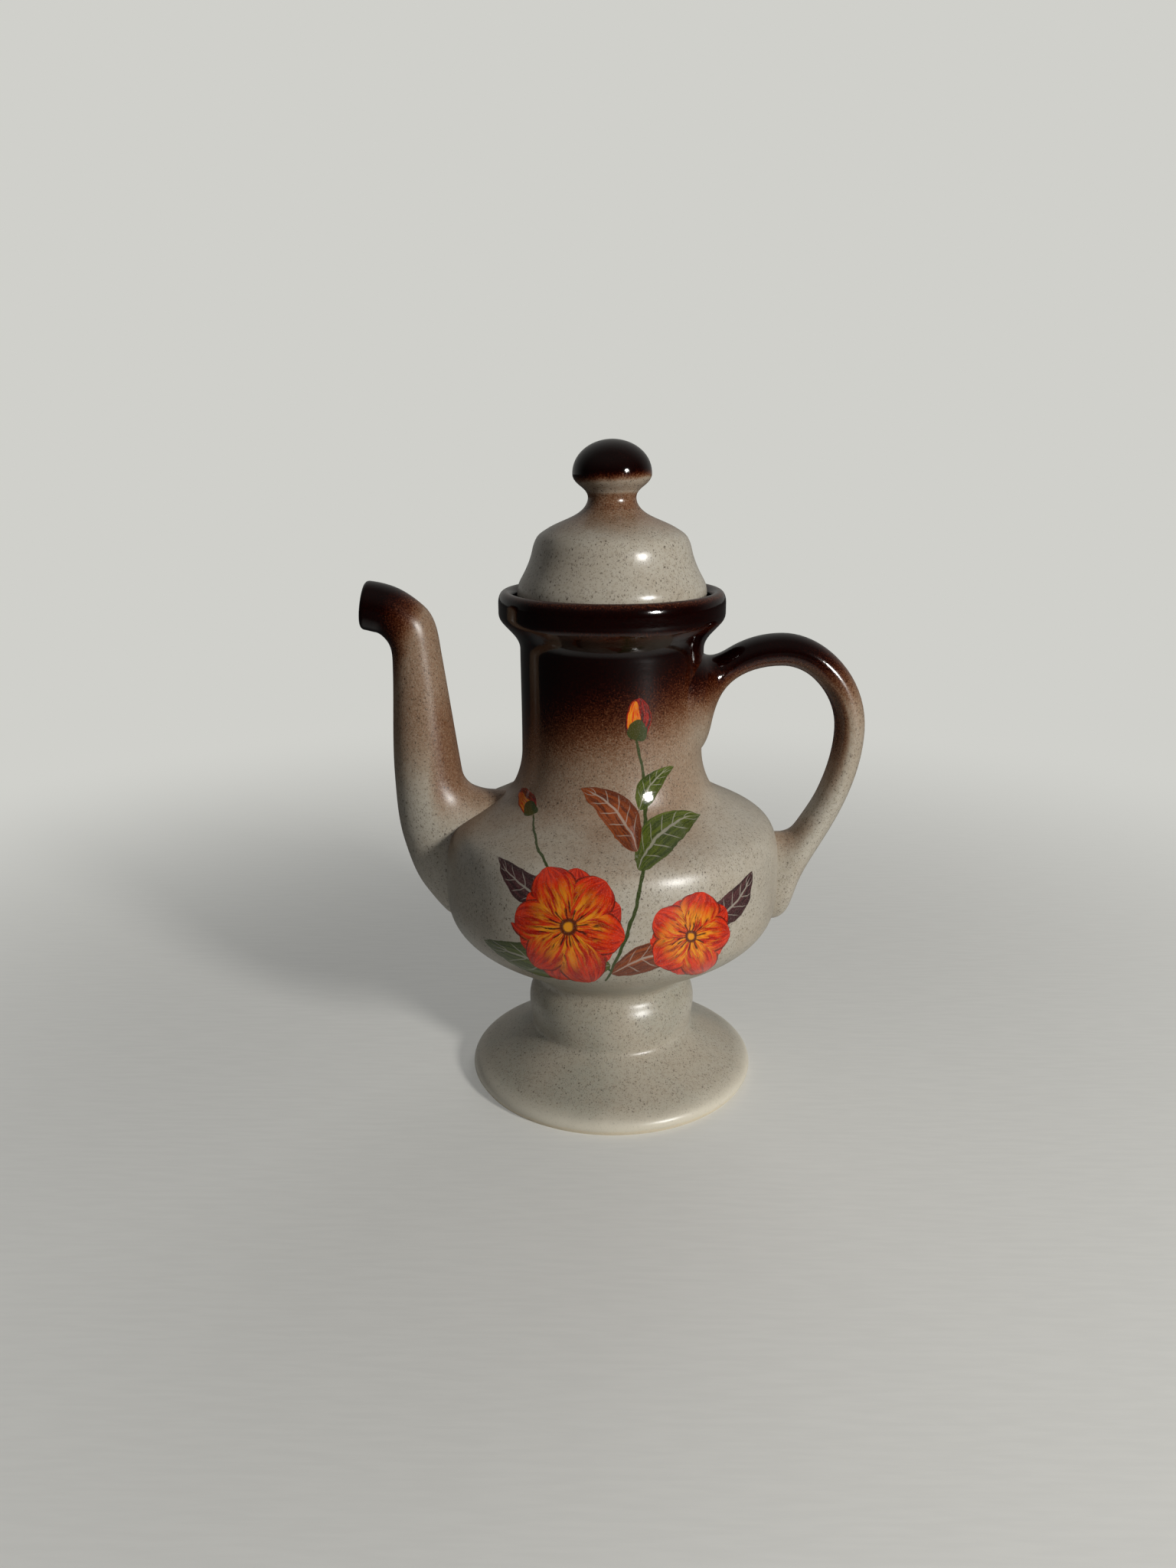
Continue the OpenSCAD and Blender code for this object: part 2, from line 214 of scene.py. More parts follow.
COLLAR_OUTSIDE = [
    (NECK_R, COVE_Z, 90),
    (NECK_R + 0.33 * COLLAR_OUT, COVE_Z + 0.275 * COLLAR_H, 50),
    (COLLAR_R - 1.2, COVE_Z + 0.48 * COLLAR_H, 50),
    (COLLAR_R, COVE_Z + 0.626 * COLLAR_H, 90),
    (COLLAR_R, RIM_Z - 0.8 * COLLAR_T, 90),
    (COLLAR_R - COLLAR_T / 2, RIM_Z, 180),
    (GALLERY_R, RIM_Z - COLLAR_T / 2, 270),
]
CROWN = (KNOB_STEM_R + 1.55, KNOB_Z, 131)
LID_OUTSIDE = [
    (LID_R, SEAT_Z, 90),
    (LID_R, SEAT_Z + 6.4, 93),
    (LID_R - 2.1, SEAT_Z + 11.8, 119),
    (LID_R - 5.8, SEAT_Z + 0.59 * LID_H, 102),
    (LID_R - 7.3, SEAT_Z + 0.7 * LID_H, 120),
    (LID_R - 11.1, SEAT_Z + 0.788 * LID_H, 148),
    ((LID_R - 4.2) / 2, KNOB_Z - 3.4, 155),
    CROWN,
]
KNOB_OUTSIDE = [
    CROWN,
    (KNOB_STEM_R, KNOB_Z + 0.157 * KNOB_H, 90),
    (KNOB_STEM_R + 2.75, KNOB_Z + 0.322 * KNOB_H, 38),
    (KNOB_R, KNOB_Z + KNOB_H / 2, 90),
    (0, KNOB_TOP, 180),
]

# ---- Rails of the spout and the handle ----

FACE = MOUTH_TUBE_R * heading(90 + MOUTH_TILT)
SPOUT_FAR = [
    (MOUTH_X - FACE[0], MOUTH_Z - FACE[1], 182 + MOUTH_TILT),
    (MOUTH_X - 2.6, MOUTH_Z - MOUTH_TUBE_R - 0.8, 190),
    (MOUTH_X - 6.6, MOUTH_Z - MOUTH_TUBE_R - 3.7, 232),
    (MOUTH_X - 8.5, MOUTH_Z - 22.5, 271),
    (TUBE_OUT, CREASE_Z + 6.5, 268),
    (BELLY_R + 16.6, BELLY_Z + 11.2, 255),
    (BELLY_R + 9.3, BELLY_Z - 7.8, 236),
    (BELLY_R + 1.6, BELLY_Z - 18, 228),
    (BELLY_R - 5.2, BELLY_Z - 22.6, 205),
    (BELLY_R - ROOT_IN - 4, BELLY_Z - 23.5, 180),
]
SPOUT_NEAR = [
    (MOUTH_X + FACE[0], MOUTH_Z + FACE[1], 179 + MOUTH_TILT),
    (MOUTH_X - 9.3, MOUTH_Z + MOUTH_TUBE_R - 1.9, 199),
    (MOUTH_X - 21, MOUTH_Z - 0.2, 222),
    (MOUTH_X - 27.1, MOUTH_Z - 19, 262),
    (TUBE_IN, CREASE_Z + 9, 262),
    (CREASE_R + 0.69 * SADDLE, CREASE_Z + 2.4, 200),
    (CREASE_R + 0.29 * SADDLE, CREASE_Z + 1.1, 180),
    (CREASE_R, CREASE_Z + 1, 180),
    (CREASE_R - ROOT_IN / 2, CREASE_Z + 1, 180),
    (CREASE_R - ROOT_IN, CREASE_Z + 1, 180),
]
SPOUT_HALF_WIDTHS = [MOUTH_TUBE_R + d for d in (0, 0.1, 0.3, 0.6)] + [
    SPOUT_HALF_W + d for d in (-0.2, 1.2, 2.2, 2, 1, 0)]


def loop_at(share):
    """Height at a share of the handle's own height."""
    return TAIL_Z + share * (LOOP_Z - TAIL_Z)


LOOP_TOP = (BELLY_R - 1.2, LOOP_Z, 0)
LOOP_SHOULDER = (BELLY_R + 0.612 * HANDLE_OUT, loop_at(0.923), -43)
LOOP_SIDE = (BELLY_R + HANDLE_OUT, loop_at(0.678), -90)
LOOP_LOW = (BELLY_R + 0.806 * HANDLE_OUT, loop_at(0.43), -112)
HANDLE_OUTER = [
    (NECK_R - ROOT_IN, COVE_Z + 4, -52),
    (NECK_R + 0.5, COVE_Z - 2.8, -30),
    (NECK_R + 0.43 * HANDLE_T, COVE_Z - 2.8, 18),
    (NECK_R + 1.03 * HANDLE_T, COVE_Z + 0.9, 28),
    LOOP_TOP,
    LOOP_SHOULDER,
    LOOP_SIDE,
    LOOP_LOW,
    (BELLY_R + 0.471 * HANDLE_OUT, loop_at(0.249), -119),
    (BELLY_R + 0.724 * HANDLE_T, loop_at(0.132), -108),
    (BELLY_R + 0.448 * HANDLE_T, loop_at(0.044), -112),
    (BELLY_R - 1.2, TAIL_Z, -178),
    (BELLY_R - ROOT_IN, TAIL_Z, -180),
]
HANDLE_INNER = [
    (NECK_R - ROOT_IN, loop_at(0.565), 50),
    (NECK_R + 0.3, loop_at(0.62), 58),
    (NECK_R + 0.267 * HANDLE_T, loop_at(0.69), 82),
    (NECK_R + 0.603 * HANDLE_T, loop_at(0.8), 60),
    beside(LOOP_TOP, -HANDLE_T - 0.6),
    beside(LOOP_SHOULDER, -HANDLE_T),
    beside(LOOP_SIDE, -HANDLE_T + 0.4),
    beside(LOOP_LOW, -HANDLE_T + 0.4),
    (BELLY_R + 0.7 * HANDLE_T, loop_at(0.359), -122),
    (BELLY_R + 0.345 * HANDLE_T, loop_at(0.322), -160),
    (BELLY_R + 0.8, loop_at(0.316), -180),
    (BELLY_R - ROOT_IN / 2, loop_at(0.316), -180),
    (BELLY_R - ROOT_IN, loop_at(0.316), -180),
]
HANDLE_HALF_WIDTHS = [ROOT_HALF_W, 0.8 * ROOT_HALF_W, 0.54 * ROOT_HALF_W, 1.07 * HANDLE_HALF_W] + [
    HANDLE_HALF_W] * 4 + [(HANDLE_HALF_W + TAIL_HALF_W) / 2, TAIL_HALF_W, TAIL_HALF_W, TAIL_HALF_W - 0.6,
                          HANDLE_HALF_W]
HANDLE_DROP = [0.25, 0.25, 0.15, 0.05] + [0] * 9


# ---- Meshes ----

def smooth(mesh):
    """Smooth shading, but for the edges that bend sharply."""
    mesh.shade_smooth()
    mesh.set_sharp_from_angle(angle=SHARP_ANGLE)


def make_object(name, points, faces):
    """Mesh object from points in millimetres."""
    mesh = bpy.data.meshes.new(name)
    mesh.from_pydata([tuple(p) for p in np.asarray(points, float) * MM], [], faces)
    bm = bmesh.new()
    bm.from_mesh(mesh)
    bmesh.ops.recalc_face_normals(bm, faces=bm.faces)
    bm.to_mesh(mesh)
    bm.free()
    smooth(mesh)
    obj = bpy.data.objects.new(name, mesh)
    bpy.context.scene.collection.objects.link(obj)
    return obj


def turned(name, outline, looped=False, sides=TURN_SIDES):
    """Solid of revolution. An open outline starts and ends on the axis, a looped one closes on itself."""
    points, rows = [], []
    angles = np.arange(sides) * 2 * math.pi / sides
    for r, z in outline:
        row = [(r * math.cos(a), r * math.sin(a), z) for a in angles] if r > TINY else [(0, 0, z)]
        rows.append(range(len(points), len(points) + len(row)))
        points += row
    faces = []
    pairs = list(zip(rows, rows[1:])) + ([(rows[-1], rows[0])] if looped else [])
    for low, up in pairs:
        for k in range(sides):
            n = (k + 1) % sides
            if len(low) == 1:
                faces.append((low[0], up[n], up[k]))
            elif len(up) == 1:
                faces.append((low[k], low[n], up[0]))
            else:
                faces.append((low[k], low[n], up[n], up[k]))
    return make_object(name, points, faces)


def ring(a, b, half_width, drop=0.0):
    """Ring in space on the points a and b of two rails."""
    t = np.arange(TUBE_SIDES) * 2 * math.pi / TUBE_SIDES
    p = (a + b) / 2 + np.outer(np.cos(t), (a - b) / 2)
    return np.column_stack([p[:, 0], half_width * np.sin(t) * (1 + drop * np.cos(t)), p[:, 1]])


def inner_ring(a, b, half_width, t, shift=(0, 0)):
    """The same ring, drawn in by t on every side and moved by shift."""
    u = (a - b) / np.linalg.norm(a - b)
    return ring(a - t * u + shift, b + t * u + shift, half_width - t)


def swept(name, rings, looped=False):
    """Closed skin over rings: a looped one joins its last ring to its first, the other has two caps."""
    count, n = len(rings), TUBE_SIDES
    faces = []
    for i in range(count if looped else count - 1):
        j = (i + 1) % count
        faces += [(i * n + k, i * n + (k + 1) % n, j * n + (k + 1) % n, j * n + k) for k in range(n)]
    if not looped:
        faces += [tuple(range(n)), tuple(range((count - 1) * n, count * n))]
    return make_object(name, np.vstack(rings), faces)


def cut(obj, tool):
    """Takes the tool's solid out of obj, and the tool out of the scene."""
    modifier = obj.modifiers.new("cut", "BOOLEAN")
    modifier.operation, modifier.solver, modifier.object = "DIFFERENCE", "EXACT", tool
    bpy.context.view_layer.update()
    result = obj.evaluated_get(bpy.context.evaluated_depsgraph_get())
    mesh = bpy.data.meshes.new_from_object(result)
    obj.modifiers.clear()
    obj.data = mesh
    smooth(mesh)
    bpy.data.objects.remove(tool)
    return obj


def body_outline():
    """The pot's outside from its floor to the inner edge of its lip."""
    bowl = flow([(STEM_R, FOOT_H, 90)] + BOWL_OUTSIDE, PROFILE_STEPS)
    return bowl + flow(COLLAR_OUTSIDE, PROFILE_STEPS)[1:]


def body_blank():
    """The pot's outer form, filled in and a touch smaller, so that what is cut by it sinks into the glaze."""
    outline = [(0, FOOT_H)] + [(r - SINK, z) for r, z in body_outline()] + [(0, RIM_Z - COLLAR_T / 2)]
    return turned("blank", outline, sides=BLANK_SIDES)


def build_body():
    floor_edge = (STEM_R - FLOOR_INSET, FOOT_H + WALL, 0)
    inside = flow([floor_edge] + [beside(s, WALL) for s in BOWL_OUTSIDE], PROFILE_STEPS // 2)
    outline = ([(0, FOOT_H)] + body_outline() + [(GALLERY_R, LEDGE_Z), (MOUTH_R, LEDGE_Z)]
               + inside[::-1] + [(0, FOOT_H + WALL)])
    body = turned("body_glazed", softened(outline, looped=False))
    drill_side = [(0, 0), (POUR_HOLE_R, 0), (POUR_HOLE_R, BELLY_R), (0, BELLY_R)]
    drill = turned("drill", drill_side, sides=DRILL_SIDES)
    drill.matrix_world = (Matrix.Translation(Vector((-BELLY_R / 2, 0, POUR_HOLE_Z)) * MM)
                          @ Matrix.Rotation(-math.pi / 2, 4, "Y"))
    return cut(body, drill)


def build_foot():
    inside = flow(FOOT_INSIDE, PROFILE_STEPS // 2) + [(STEM_R - WALL, FOOT_H)]
    outline = flow(FOOT_OUTSIDE, PROFILE_STEPS) + inside[::-1]
    return turned("foot_glazed", softened(outline, looped=True), looped=True)


def build_spout():
    """Hollow tube with a round lip, drawn on the handle's side and put in place by half a turn."""
    far, near = flow(SPOUT_FAR, RAIL_STEPS), flow(SPOUT_NEAR, RAIL_STEPS)
    widths = blended(SPOUT_HALF_WIDTHS, RAIL_STEPS)
    last, lip = len(far) - 1, SPOUT_WALL / 2
    outer = [ring(far[i], near[i], widths[i]) for i in range(last, -1, -1)]
    lip_rings = [inner_ring(far[0], near[0], widths[0], lip * (1 - math.cos(t)),
                            lip * math.sin(t) * heading(MOUTH_TILT))
                 for t in np.linspace(0, math.pi, LIP_POINTS)[1:-1]]
    inner = [inner_ring(far[i], near[i], widths[i], SPOUT_WALL) for i in range(last + 1)]
    half_turn = np.array([-1, -1, 1])
    rings = [r * half_turn for r in outer + lip_rings + inner]
    return cut(swept("spout_glazed", rings, looped=True), body_blank())


def build_handle():
    outer, inner = flow(HANDLE_OUTER, RAIL_STEPS), flow(HANDLE_INNER, RAIL_STEPS)
    widths, drops = blended(HANDLE_HALF_WIDTHS, RAIL_STEPS), blended(HANDLE_DROP, RAIL_STEPS)
    rings = [ring(a, b, w, d) for a, b, w, d in zip(outer, inner, widths, drops)]
    return cut(swept("handle_glazed", rings), body_blank())


def build_lid():
    bore_r = FLANGE_R - LID_WALL
    flange_z = SEAT_Z - FLANGE_DEPTH
    inside = flow([(bore_r, flange_z, 90), (bore_r, SEAT_Z, 90)]
                  + [beside(s, LID_WALL) for s in LID_OUTSIDE[3:]], PROFILE_STEPS // 2)
    outline = ([(0, KNOB_Z)] + flow(LID_OUTSIDE, PROFILE_STEPS)[::-1]
               + [(FLANGE_R, SEAT_Z), (FLANGE_R, flange_z)] + inside + [(0, inside[-1][1])])
    return turned("lid_glazed", softened(outline, looped=False))


def build_knob():
    outside = flow(KNOB_OUTSIDE, 2 * PROFILE_STEPS)[:-1]
    return turned("knob_glazed", [(0, KNOB_Z)] + outside + [(0, KNOB_TOP)])


# ---- Shader graphs ----

def srgb(red, green, blue):
    """Linear colour from the usual 0 to 255 values."""
    line = [c / 255 for c in (red, green, blue)]
    return tuple(c / 12.92 if c <= 0.04045 else ((c + 0.055) / 1.055) ** 2.4 for c in line) + (1.0,)


class Graph:
    """Shorthand for a node tree: each call adds nodes and returns what comes out of them."""

    def __init__(self, tree):
        self.tree = tree

    def add(self, kind, inputs=(), **settings):
        """Adds one node and returns it. Each input is a value or another node's output."""
        node = self.tree.nodes.new(kind)
        for name, value in settings.items():
            setattr(node, name, value)
        for key, value in dict(inputs).items():
            if isinstance(value, bpy.types.NodeSocket):
                self.tree.links.new(value, node.inputs[key])
            else:
                node.inputs[key].default_value = value
        return node

    def math(self, operation, a, b=0.0, c=0.0, clamp=False):
        inputs = {0: a, 1: b, 2: c}
        return self.add("ShaderNodeMath", inputs, operation=operation, use_clamp=clamp).outputs[0]

    def times(self, first, *others):
        for other in others:
            first = self.math("MULTIPLY", first, other)
        return first

    def minus(self, a, b):
        return self.math("SUBTRACT", a, b)

    def largest(self, first, *others):
        for other in others:
            first = self.math("MAXIMUM", first, other)
        return first

    def dot(self, p, q):
        """Dot product of two pairs."""
        return self.math("MULTIPLY_ADD", p[0], q[0], self.math("MULTIPLY", p[1], q[1]))

    def length(self, x, y):
        return self.math("SQRT", self.dot((x, y), (x, y)))

    def step(self, value, low, high, top=1.0):
        """Smooth rise from 0 at low to top at high. With high under low it is a fall."""
        ends = {1: high, 2: low, 3: top, 4: 0.0} if high < low else {1: low, 2: high, 3: 0.0, 4: top}
        inputs = {0: value, **ends}
        return self.add("ShaderNodeMapRange", inputs, interpolation_type="SMOOTHSTEP").outputs[0]

    def mix(self, factor, a, b, mode="MIX"):
        inputs = {0: factor, 6: a, 7: b}
        return self.add("ShaderNodeMix", inputs, data_type="RGBA", blend_type=mode).outputs[2]

    def noise(self, where, scale, detail=2.0, roughness=0.5):
        inputs = {"Vector": where, "Scale": scale, "Detail": detail, "Roughness": roughness}
        return self.add("ShaderNodeTexNoise", inputs).outputs[0]

    def stretch(self, where, scale):
        return self.add("ShaderNodeMapping", {"Vector": where, "Scale": scale}).outputs[0]

    def parts(self, vector):
        return self.add("ShaderNodeSeparateXYZ", {0: vector}).outputs


class Surface(Graph):
    """Graph of one piece's material, with the place of the shaded point in millimetres."""

    def __init__(self, name):
        self.material = bpy.data.materials.new(name)
        self.material.use_nodes = True
        super().__init__(self.material.node_tree)
        self.tree.nodes.clear()
        coordinates = self.add("ShaderNodeTexCoord")
        inputs = {0: coordinates.outputs["Object"], "Scale": 1 / MM}
        self.place = self.add("ShaderNodeVectorMath", inputs, operation="SCALE").outputs[0]
        self.x, self.y, self.z = self.parts(self.place)
        self.facing = self.parts(coordinates.outputs["Normal"])

    def wavering(self, value, size, reach):
        """The value shifted by up to half of reach, in soft waves of a size in millimetres."""
        wave = self.minus(self.noise(self.place, 1 / size, 2.0), 0.5)
        return self.math("MULTIPLY_ADD", wave, reach, value)


# ---- Glazes ----
# A noise is (cells per millimetre, detail, roughness), the last one or two left out where they are usual.
# A fade is (start, full) or (start, full, strength when full), the ends of a smooth rise or fall.

BEIGE = srgb(181, 174, 160)
BEIGE_WARM = srgb(171, 159, 141)
# Greyer beige for the lower pot and the foot: partly the glaze's own tone, partly painted shade, darker where
# less light reaches low
BEIGE_COOL_SHADED = srgb(158, 154, 140)
MOTTLE = srgb(150, 138, 118)
SPECK = srgb(62, 47, 34)
CREAM = srgb(210, 203, 186)
CLAY, CLAY_DARK = srgb(216, 207, 188), srgb(200, 187, 162)
CLAY_NOISE = (1.2, 3.0)

CLOUD_NOISE, CLOUD_FADE = (0.045, 3.0), (0.35, 0.7, 0.6)
MOTTLE_NOISE, MOTTLE_FADE = (0.6, 4.0, 0.65), (0.45, 0.7, 0.4)

# Iron specks of the clay: cells per millimetre, largest radius, share of the cells that have one, strength
SPECKS = [(2.0, 0.3, 1.0, 0.55), (1.2, 0.4, 0.8, 0.7), (0.68, 0.48, 0.75, 0.85)]
# Fraying of their edges, its reach and cells per millimetre; the scale of their upright measure, under 1 as
# the glaze's run draws them out; and the share of their radius that is solid
FRAY_REACH, FRAY_SCALE, SPECK_RUN, SPECK_CORE = 1.1, 1.3, 0.75, 0.3

# How much faster the brown glaze takes out green and blue than red, its depth where it is thickest, and how
# steeply that falls off
BROWN_FILTER = (1.0, 1.67, 2.15)
BROWN_DEPTH = 4.6
BROWN_CURVE = 1.8
# Droplets of the spray: their noise, their spread of cover and the least of it, and where they run together
DROPLET_NOISE, DROPLET_SPREAD, DROPLET_LEAST = (1.7, 3.0, 0.65), 1.5, 0.25
RUN_TOGETHER = (0.75, 1.2)

# Skin of the glaze: waves per millimetre from the hand, those of the fine skin with their weights, and the
# height in millimetres of all of it
HAND_WAVES, SKIN_WAVES, SKIN_HEIGHT = 0.045, [(0.55, 0.09), (1.8, 0.045)], 0.25

# Cover from which a surface begins to look wet, and from which it does fully
WET_FROM, WET_FULL = 0.25, 0.85


def glaze_ground(g, colour):
    """Beige stoneware glaze: soft clouds of tone, and ragged iron specks drawn out by the glaze's run."""
    colour = g.mix(g.step(g.noise(g.place, *CLOUD_NOISE), *CLOUD_FADE), colour, BEIGE_WARM)
    colour = g.mix(g.step(g.noise(g.place, *MOTTLE_NOISE), *MOTTLE_FADE), colour, MOTTLE)
    inputs = {"Vector": g.place, "Scale": FRAY_SCALE, "Detail": 1.0}
    ragged = g.add("ShaderNodeTexNoise", inputs).outputs["Color"]
    inputs = {0: ragged, 1: (FRAY_REACH,) * 3, 2: g.stretch(g.place, (1.0, 1.0, SPECK_RUN))}
    drawn = g.add("ShaderNodeVectorMath", inputs, operation="MULTIPLY_ADD").outputs[0]
    for cells_per_mm, radius, share, strength in SPECKS:
        cell = g.add("ShaderNodeTexVoronoi", {"Vector": drawn, "Scale": cells_per_mm}).outputs
        chance = g.parts(cell["Color"])
        reach = g.times(chance[0], radius * cells_per_mm)
        inputs = {0: cell["Distance"], 1: reach, 2: g.times(reach, SPECK_CORE), 3: 0.0, 4: strength}
        dot = g.add("ShaderNodeMapRange", inputs).outputs[0]
        colour = g.mix(g.times(dot, g.math("LESS_THAN", chance[1], share)), colour, SPECK)
    return colour


def sprayed(g, colour, cover):
    """Brown glaze sprayed over a colour, which it filters, in fine droplets where it is thin. On the handle's
    loop part of the cover is painted shade.
    """
    grain = g.math("MULTIPLY_ADD", g.noise(g.place, *DROPLET_NOISE), DROPLET_SPREAD, DROPLET_LEAST)
    even = g.step(cover, *RUN_TOGETHER)
    grain = g.math("ADD", g.times(grain, g.minus(1.0, even)), even)
    cover = g.math("MULTIPLY", cover, grain, clamp=True)
    depth = g.times(g.math("POWER", cover, BROWN_CURVE), -BROWN_DEPTH)
    passed = [g.math("EXPONENT", g.times(depth, share)) for share in BROWN_FILTER]
    tint = g.add("ShaderNodeCombineColor", dict(enumerate(passed))).outputs[0]
    return g.mix(1.0, colour, tint, "MULTIPLY"), cover


def over_haze(g, cover, haze):
    """Cover of a spray that lies over a thin haze of the same glaze."""
    return g.math("MULTIPLY_ADD", haze, g.minus(1.0, cover), cover)


def clay(g):
    return g.mix(g.noise(g.place, *CLAY_NOISE), CLAY, CLAY_DARK)


def gloss(g, wet, dry_roughness, wet_roughness):
    """Roughness that falls from the dry value to the wet one with the cover of brown glaze or paint."""
    inputs = {0: wet, 1: WET_FROM, 2: WET_FULL, 3: dry_roughness, 4: wet_roughness}
    return g.add("ShaderNodeMapRange", inputs).outputs[0]


def finished(g, colour, roughness, height=None):
    """Closes the graph with a glazed surface: soft waves from the hand, and the fine skin of the glaze."""
    skin = g.noise(g.place, HAND_WAVES, 2.0)
    for scale, weight in SKIN_WAVES:
        skin = g.math("MULTIPLY_ADD", g.noise(g.place, scale, 2.0), weight, skin)
    if height is not None:
        skin = g.math("ADD", skin, height)
    bump = g.add("ShaderNodeBump", {"Height": skin, "Strength": 1.0, "Distance": SKIN_HEIGHT * MM})
    inputs = {"Base Color": colour, "Roughness": roughness, "Normal": bump.outputs[0]}
    shader = g.add("ShaderNodeBsdfPrincipled", inputs)
    g.add("ShaderNodeOutputMaterial", {"Surface": shader.outputs[0]})
    return g.material


# ---- The painted motif: an upright spray of flowers, drawn on a plane before the belly ----

MOTIF_TILT = math.radians(16.65)
# The paint ends towards the pot's sides, and isn't on what faces back
FRONT_FADE, FRONT_FACING = (-4.0, -10.0, 0.97), 0.2
# Shake of the brush: size of its waves across and up, and reach
SHAKE_SIZES, SHAKE_REACH = (1 / 0.16, 1 / 0.13), 2.0

ORANGE_RED, RED_DEEP, YELLOW = srgb(216, 50, 16), srgb(158, 22, 12), srgb(232, 150, 30)
OLIVE, OLIVE_DARK = srgb(88, 100, 34), srgb(50, 64, 24)
RUST, RUST_DARK = srgb(142, 68, 30), srgb(88, 38, 22)
AUBERGINE, AUBERGINE_DARK = srgb(78, 42, 46), srgb(44, 22, 28)
LINE = srgb(46, 20, 16)

# Strokes: start (across, up), direction, length, half-width, bend. Lengths in millimetres, angles in degrees.
STEMS = [
    ((-2, 46), 83, 87, 0.75, -8.0),
    ((0, 50), 122, 22, 0.7, 2.0),
    ((0, 51), 36, 29, 0.65, -2.0),
    ((-17, 82), 118, 25, 0.5, 3.0),
]
LEAVES = [
    ((9, 86), 38, 30, 6.6, 4.0, OLIVE, OLIVE_DARK),
    ((9, 92), 133, 30, 6.2, -4.0, RUST, RUST_DARK),
    ((-17, 76), 150, 27, 5.6, 3.5, AUBERGINE, AUBERGINE_DARK),
    ((0, 52), 172, 47, 6.6, 2.5, OLIVE, OLIVE_DARK),
    ((0, 49), 12, 35, 5.2, 3.5, RUST, RUST_DARK),
    ((31, 66), 42, 27, 5.2, -3.5, AUBERGINE, AUBERGINE_DARK),
    ((10, 106), 52, 20, 4.0, 2.5, OLIVE, OLIVE_DARK),
]
# Buds: start, direction, length, half-width
BUDS = [((8.5, 131), 84, 15.0, 4.6), ((-29, 104), 116, 11.0, 3.6)]
# Flowers: centre, number of petals, their length and half-width, direction of the first
FLOWERS = [((-15, 66), 6, 21.0, 8.2, 20), ((28, 62), 5, 15.5, 7.2, 38)]

# Shape of each kind of stroke: its taper, from 0 for a bar to 1 for a lens, and its skew, under 1 where it is
# widest near its start and over 1 where it is widest near its end
STEM_SHAPE, LEAF_SHAPE, BUD_SHAPE = (0.2, 1.0), (0.9, 0.8), (0.6, 1.0)
CALYX_SHAPE, PETAL_SHAPE = (0.5, 0.7), (0.6, 1.35)
STROKE_EDGE, LEAST_HALF_WIDTH = (-0.12, 0.16), 0.05

# Streaks of the bristles: scales of the measures along and across a stroke, the noise in cells for each unit
# of these, and the fades
STREAK_STRETCH, STREAK_NOISE = (1.5, 3.2), (1.7, 4.0, 0.62)
STREAKS, FINE_STREAKS = (0.4, 0.62), (0.56, 0.66)

# Leaves, in shares of their length and half-width: dark side, ribs and midrib scratched into the paint, and
# half of the pitch of the ribs
LEAF_SHADE = (-0.2, -0.9, 0.55)
HALF_PITCH, RIB_LEAN, RIB_LINE = 0.08, -0.16, (0.011, 0.004, 0.5)
RIB_START, RIB_END = (0.12, 0.25), (0.95, 0.6)
MIDRIB_LINE, MIDRIB_END = (0.1, 0.04, 0.6), (0.98, 0.8)

# Layers of a bud: turn, shares of the bud's length and half-width, bend, shape
BUD_BACK, BUD_FRONT = (0, 1.0, 1.0, 0.0, BUD_SHAPE), (7, 0.92, 0.55, 0.6, BUD_SHAPE)
BUD_CUP = (-4, 0.5, 0.75, 0.0, CALYX_SHAPE)

# Petals: reach of the back and the front layer, and what makes them uneven, as steps of a wave's phase from
# petal to petal and as a share of their length
PETAL_LAYERS = (0.93, 1.0)
UNEVEN_STEP, UNEVEN_REACH = 2.4, 0.07
# Yellow and dark streaks and the outline, in shares of a petal's length and half-width
GLOW_FADE, DARK_FADE, OUTLINE_FADE = (0.85, 0.35), (0.72, 0.4), (0.86, 0.96, 0.8)
# Eye of a flower: fades of its spokes, and the discs of spokes, ring and dot in shares of a petal's length
SPOKE_FADE, SPOKE_DISC, RING_DISC, DOT_DISC = (0.6, 0.95, 0.9), (0.36, 0.3), (0.17, 0.13), (0.1, 0.06)

# Seeds that keep the streaks apart: of the buds' layers and of the flowers, steps from one flower, layer and
# petal to the next, and what is added for yellow and for dark streaks
BACK_SEED, FRONT_SEED, FLOWER_SEED = 20, 30, 40
FLOWER_STEP, LAYER_STEP, PETAL_STEP = 20, 7, 3.7
GLOW_SEED, DARK_SEED = 1.7, 0.9

# Pinholes through which the ground shows
PINHOLE_NOISE, PINHOLE_FADE = (2.2, 3.0, 0.65), (0.5, 0.68, 0.16)


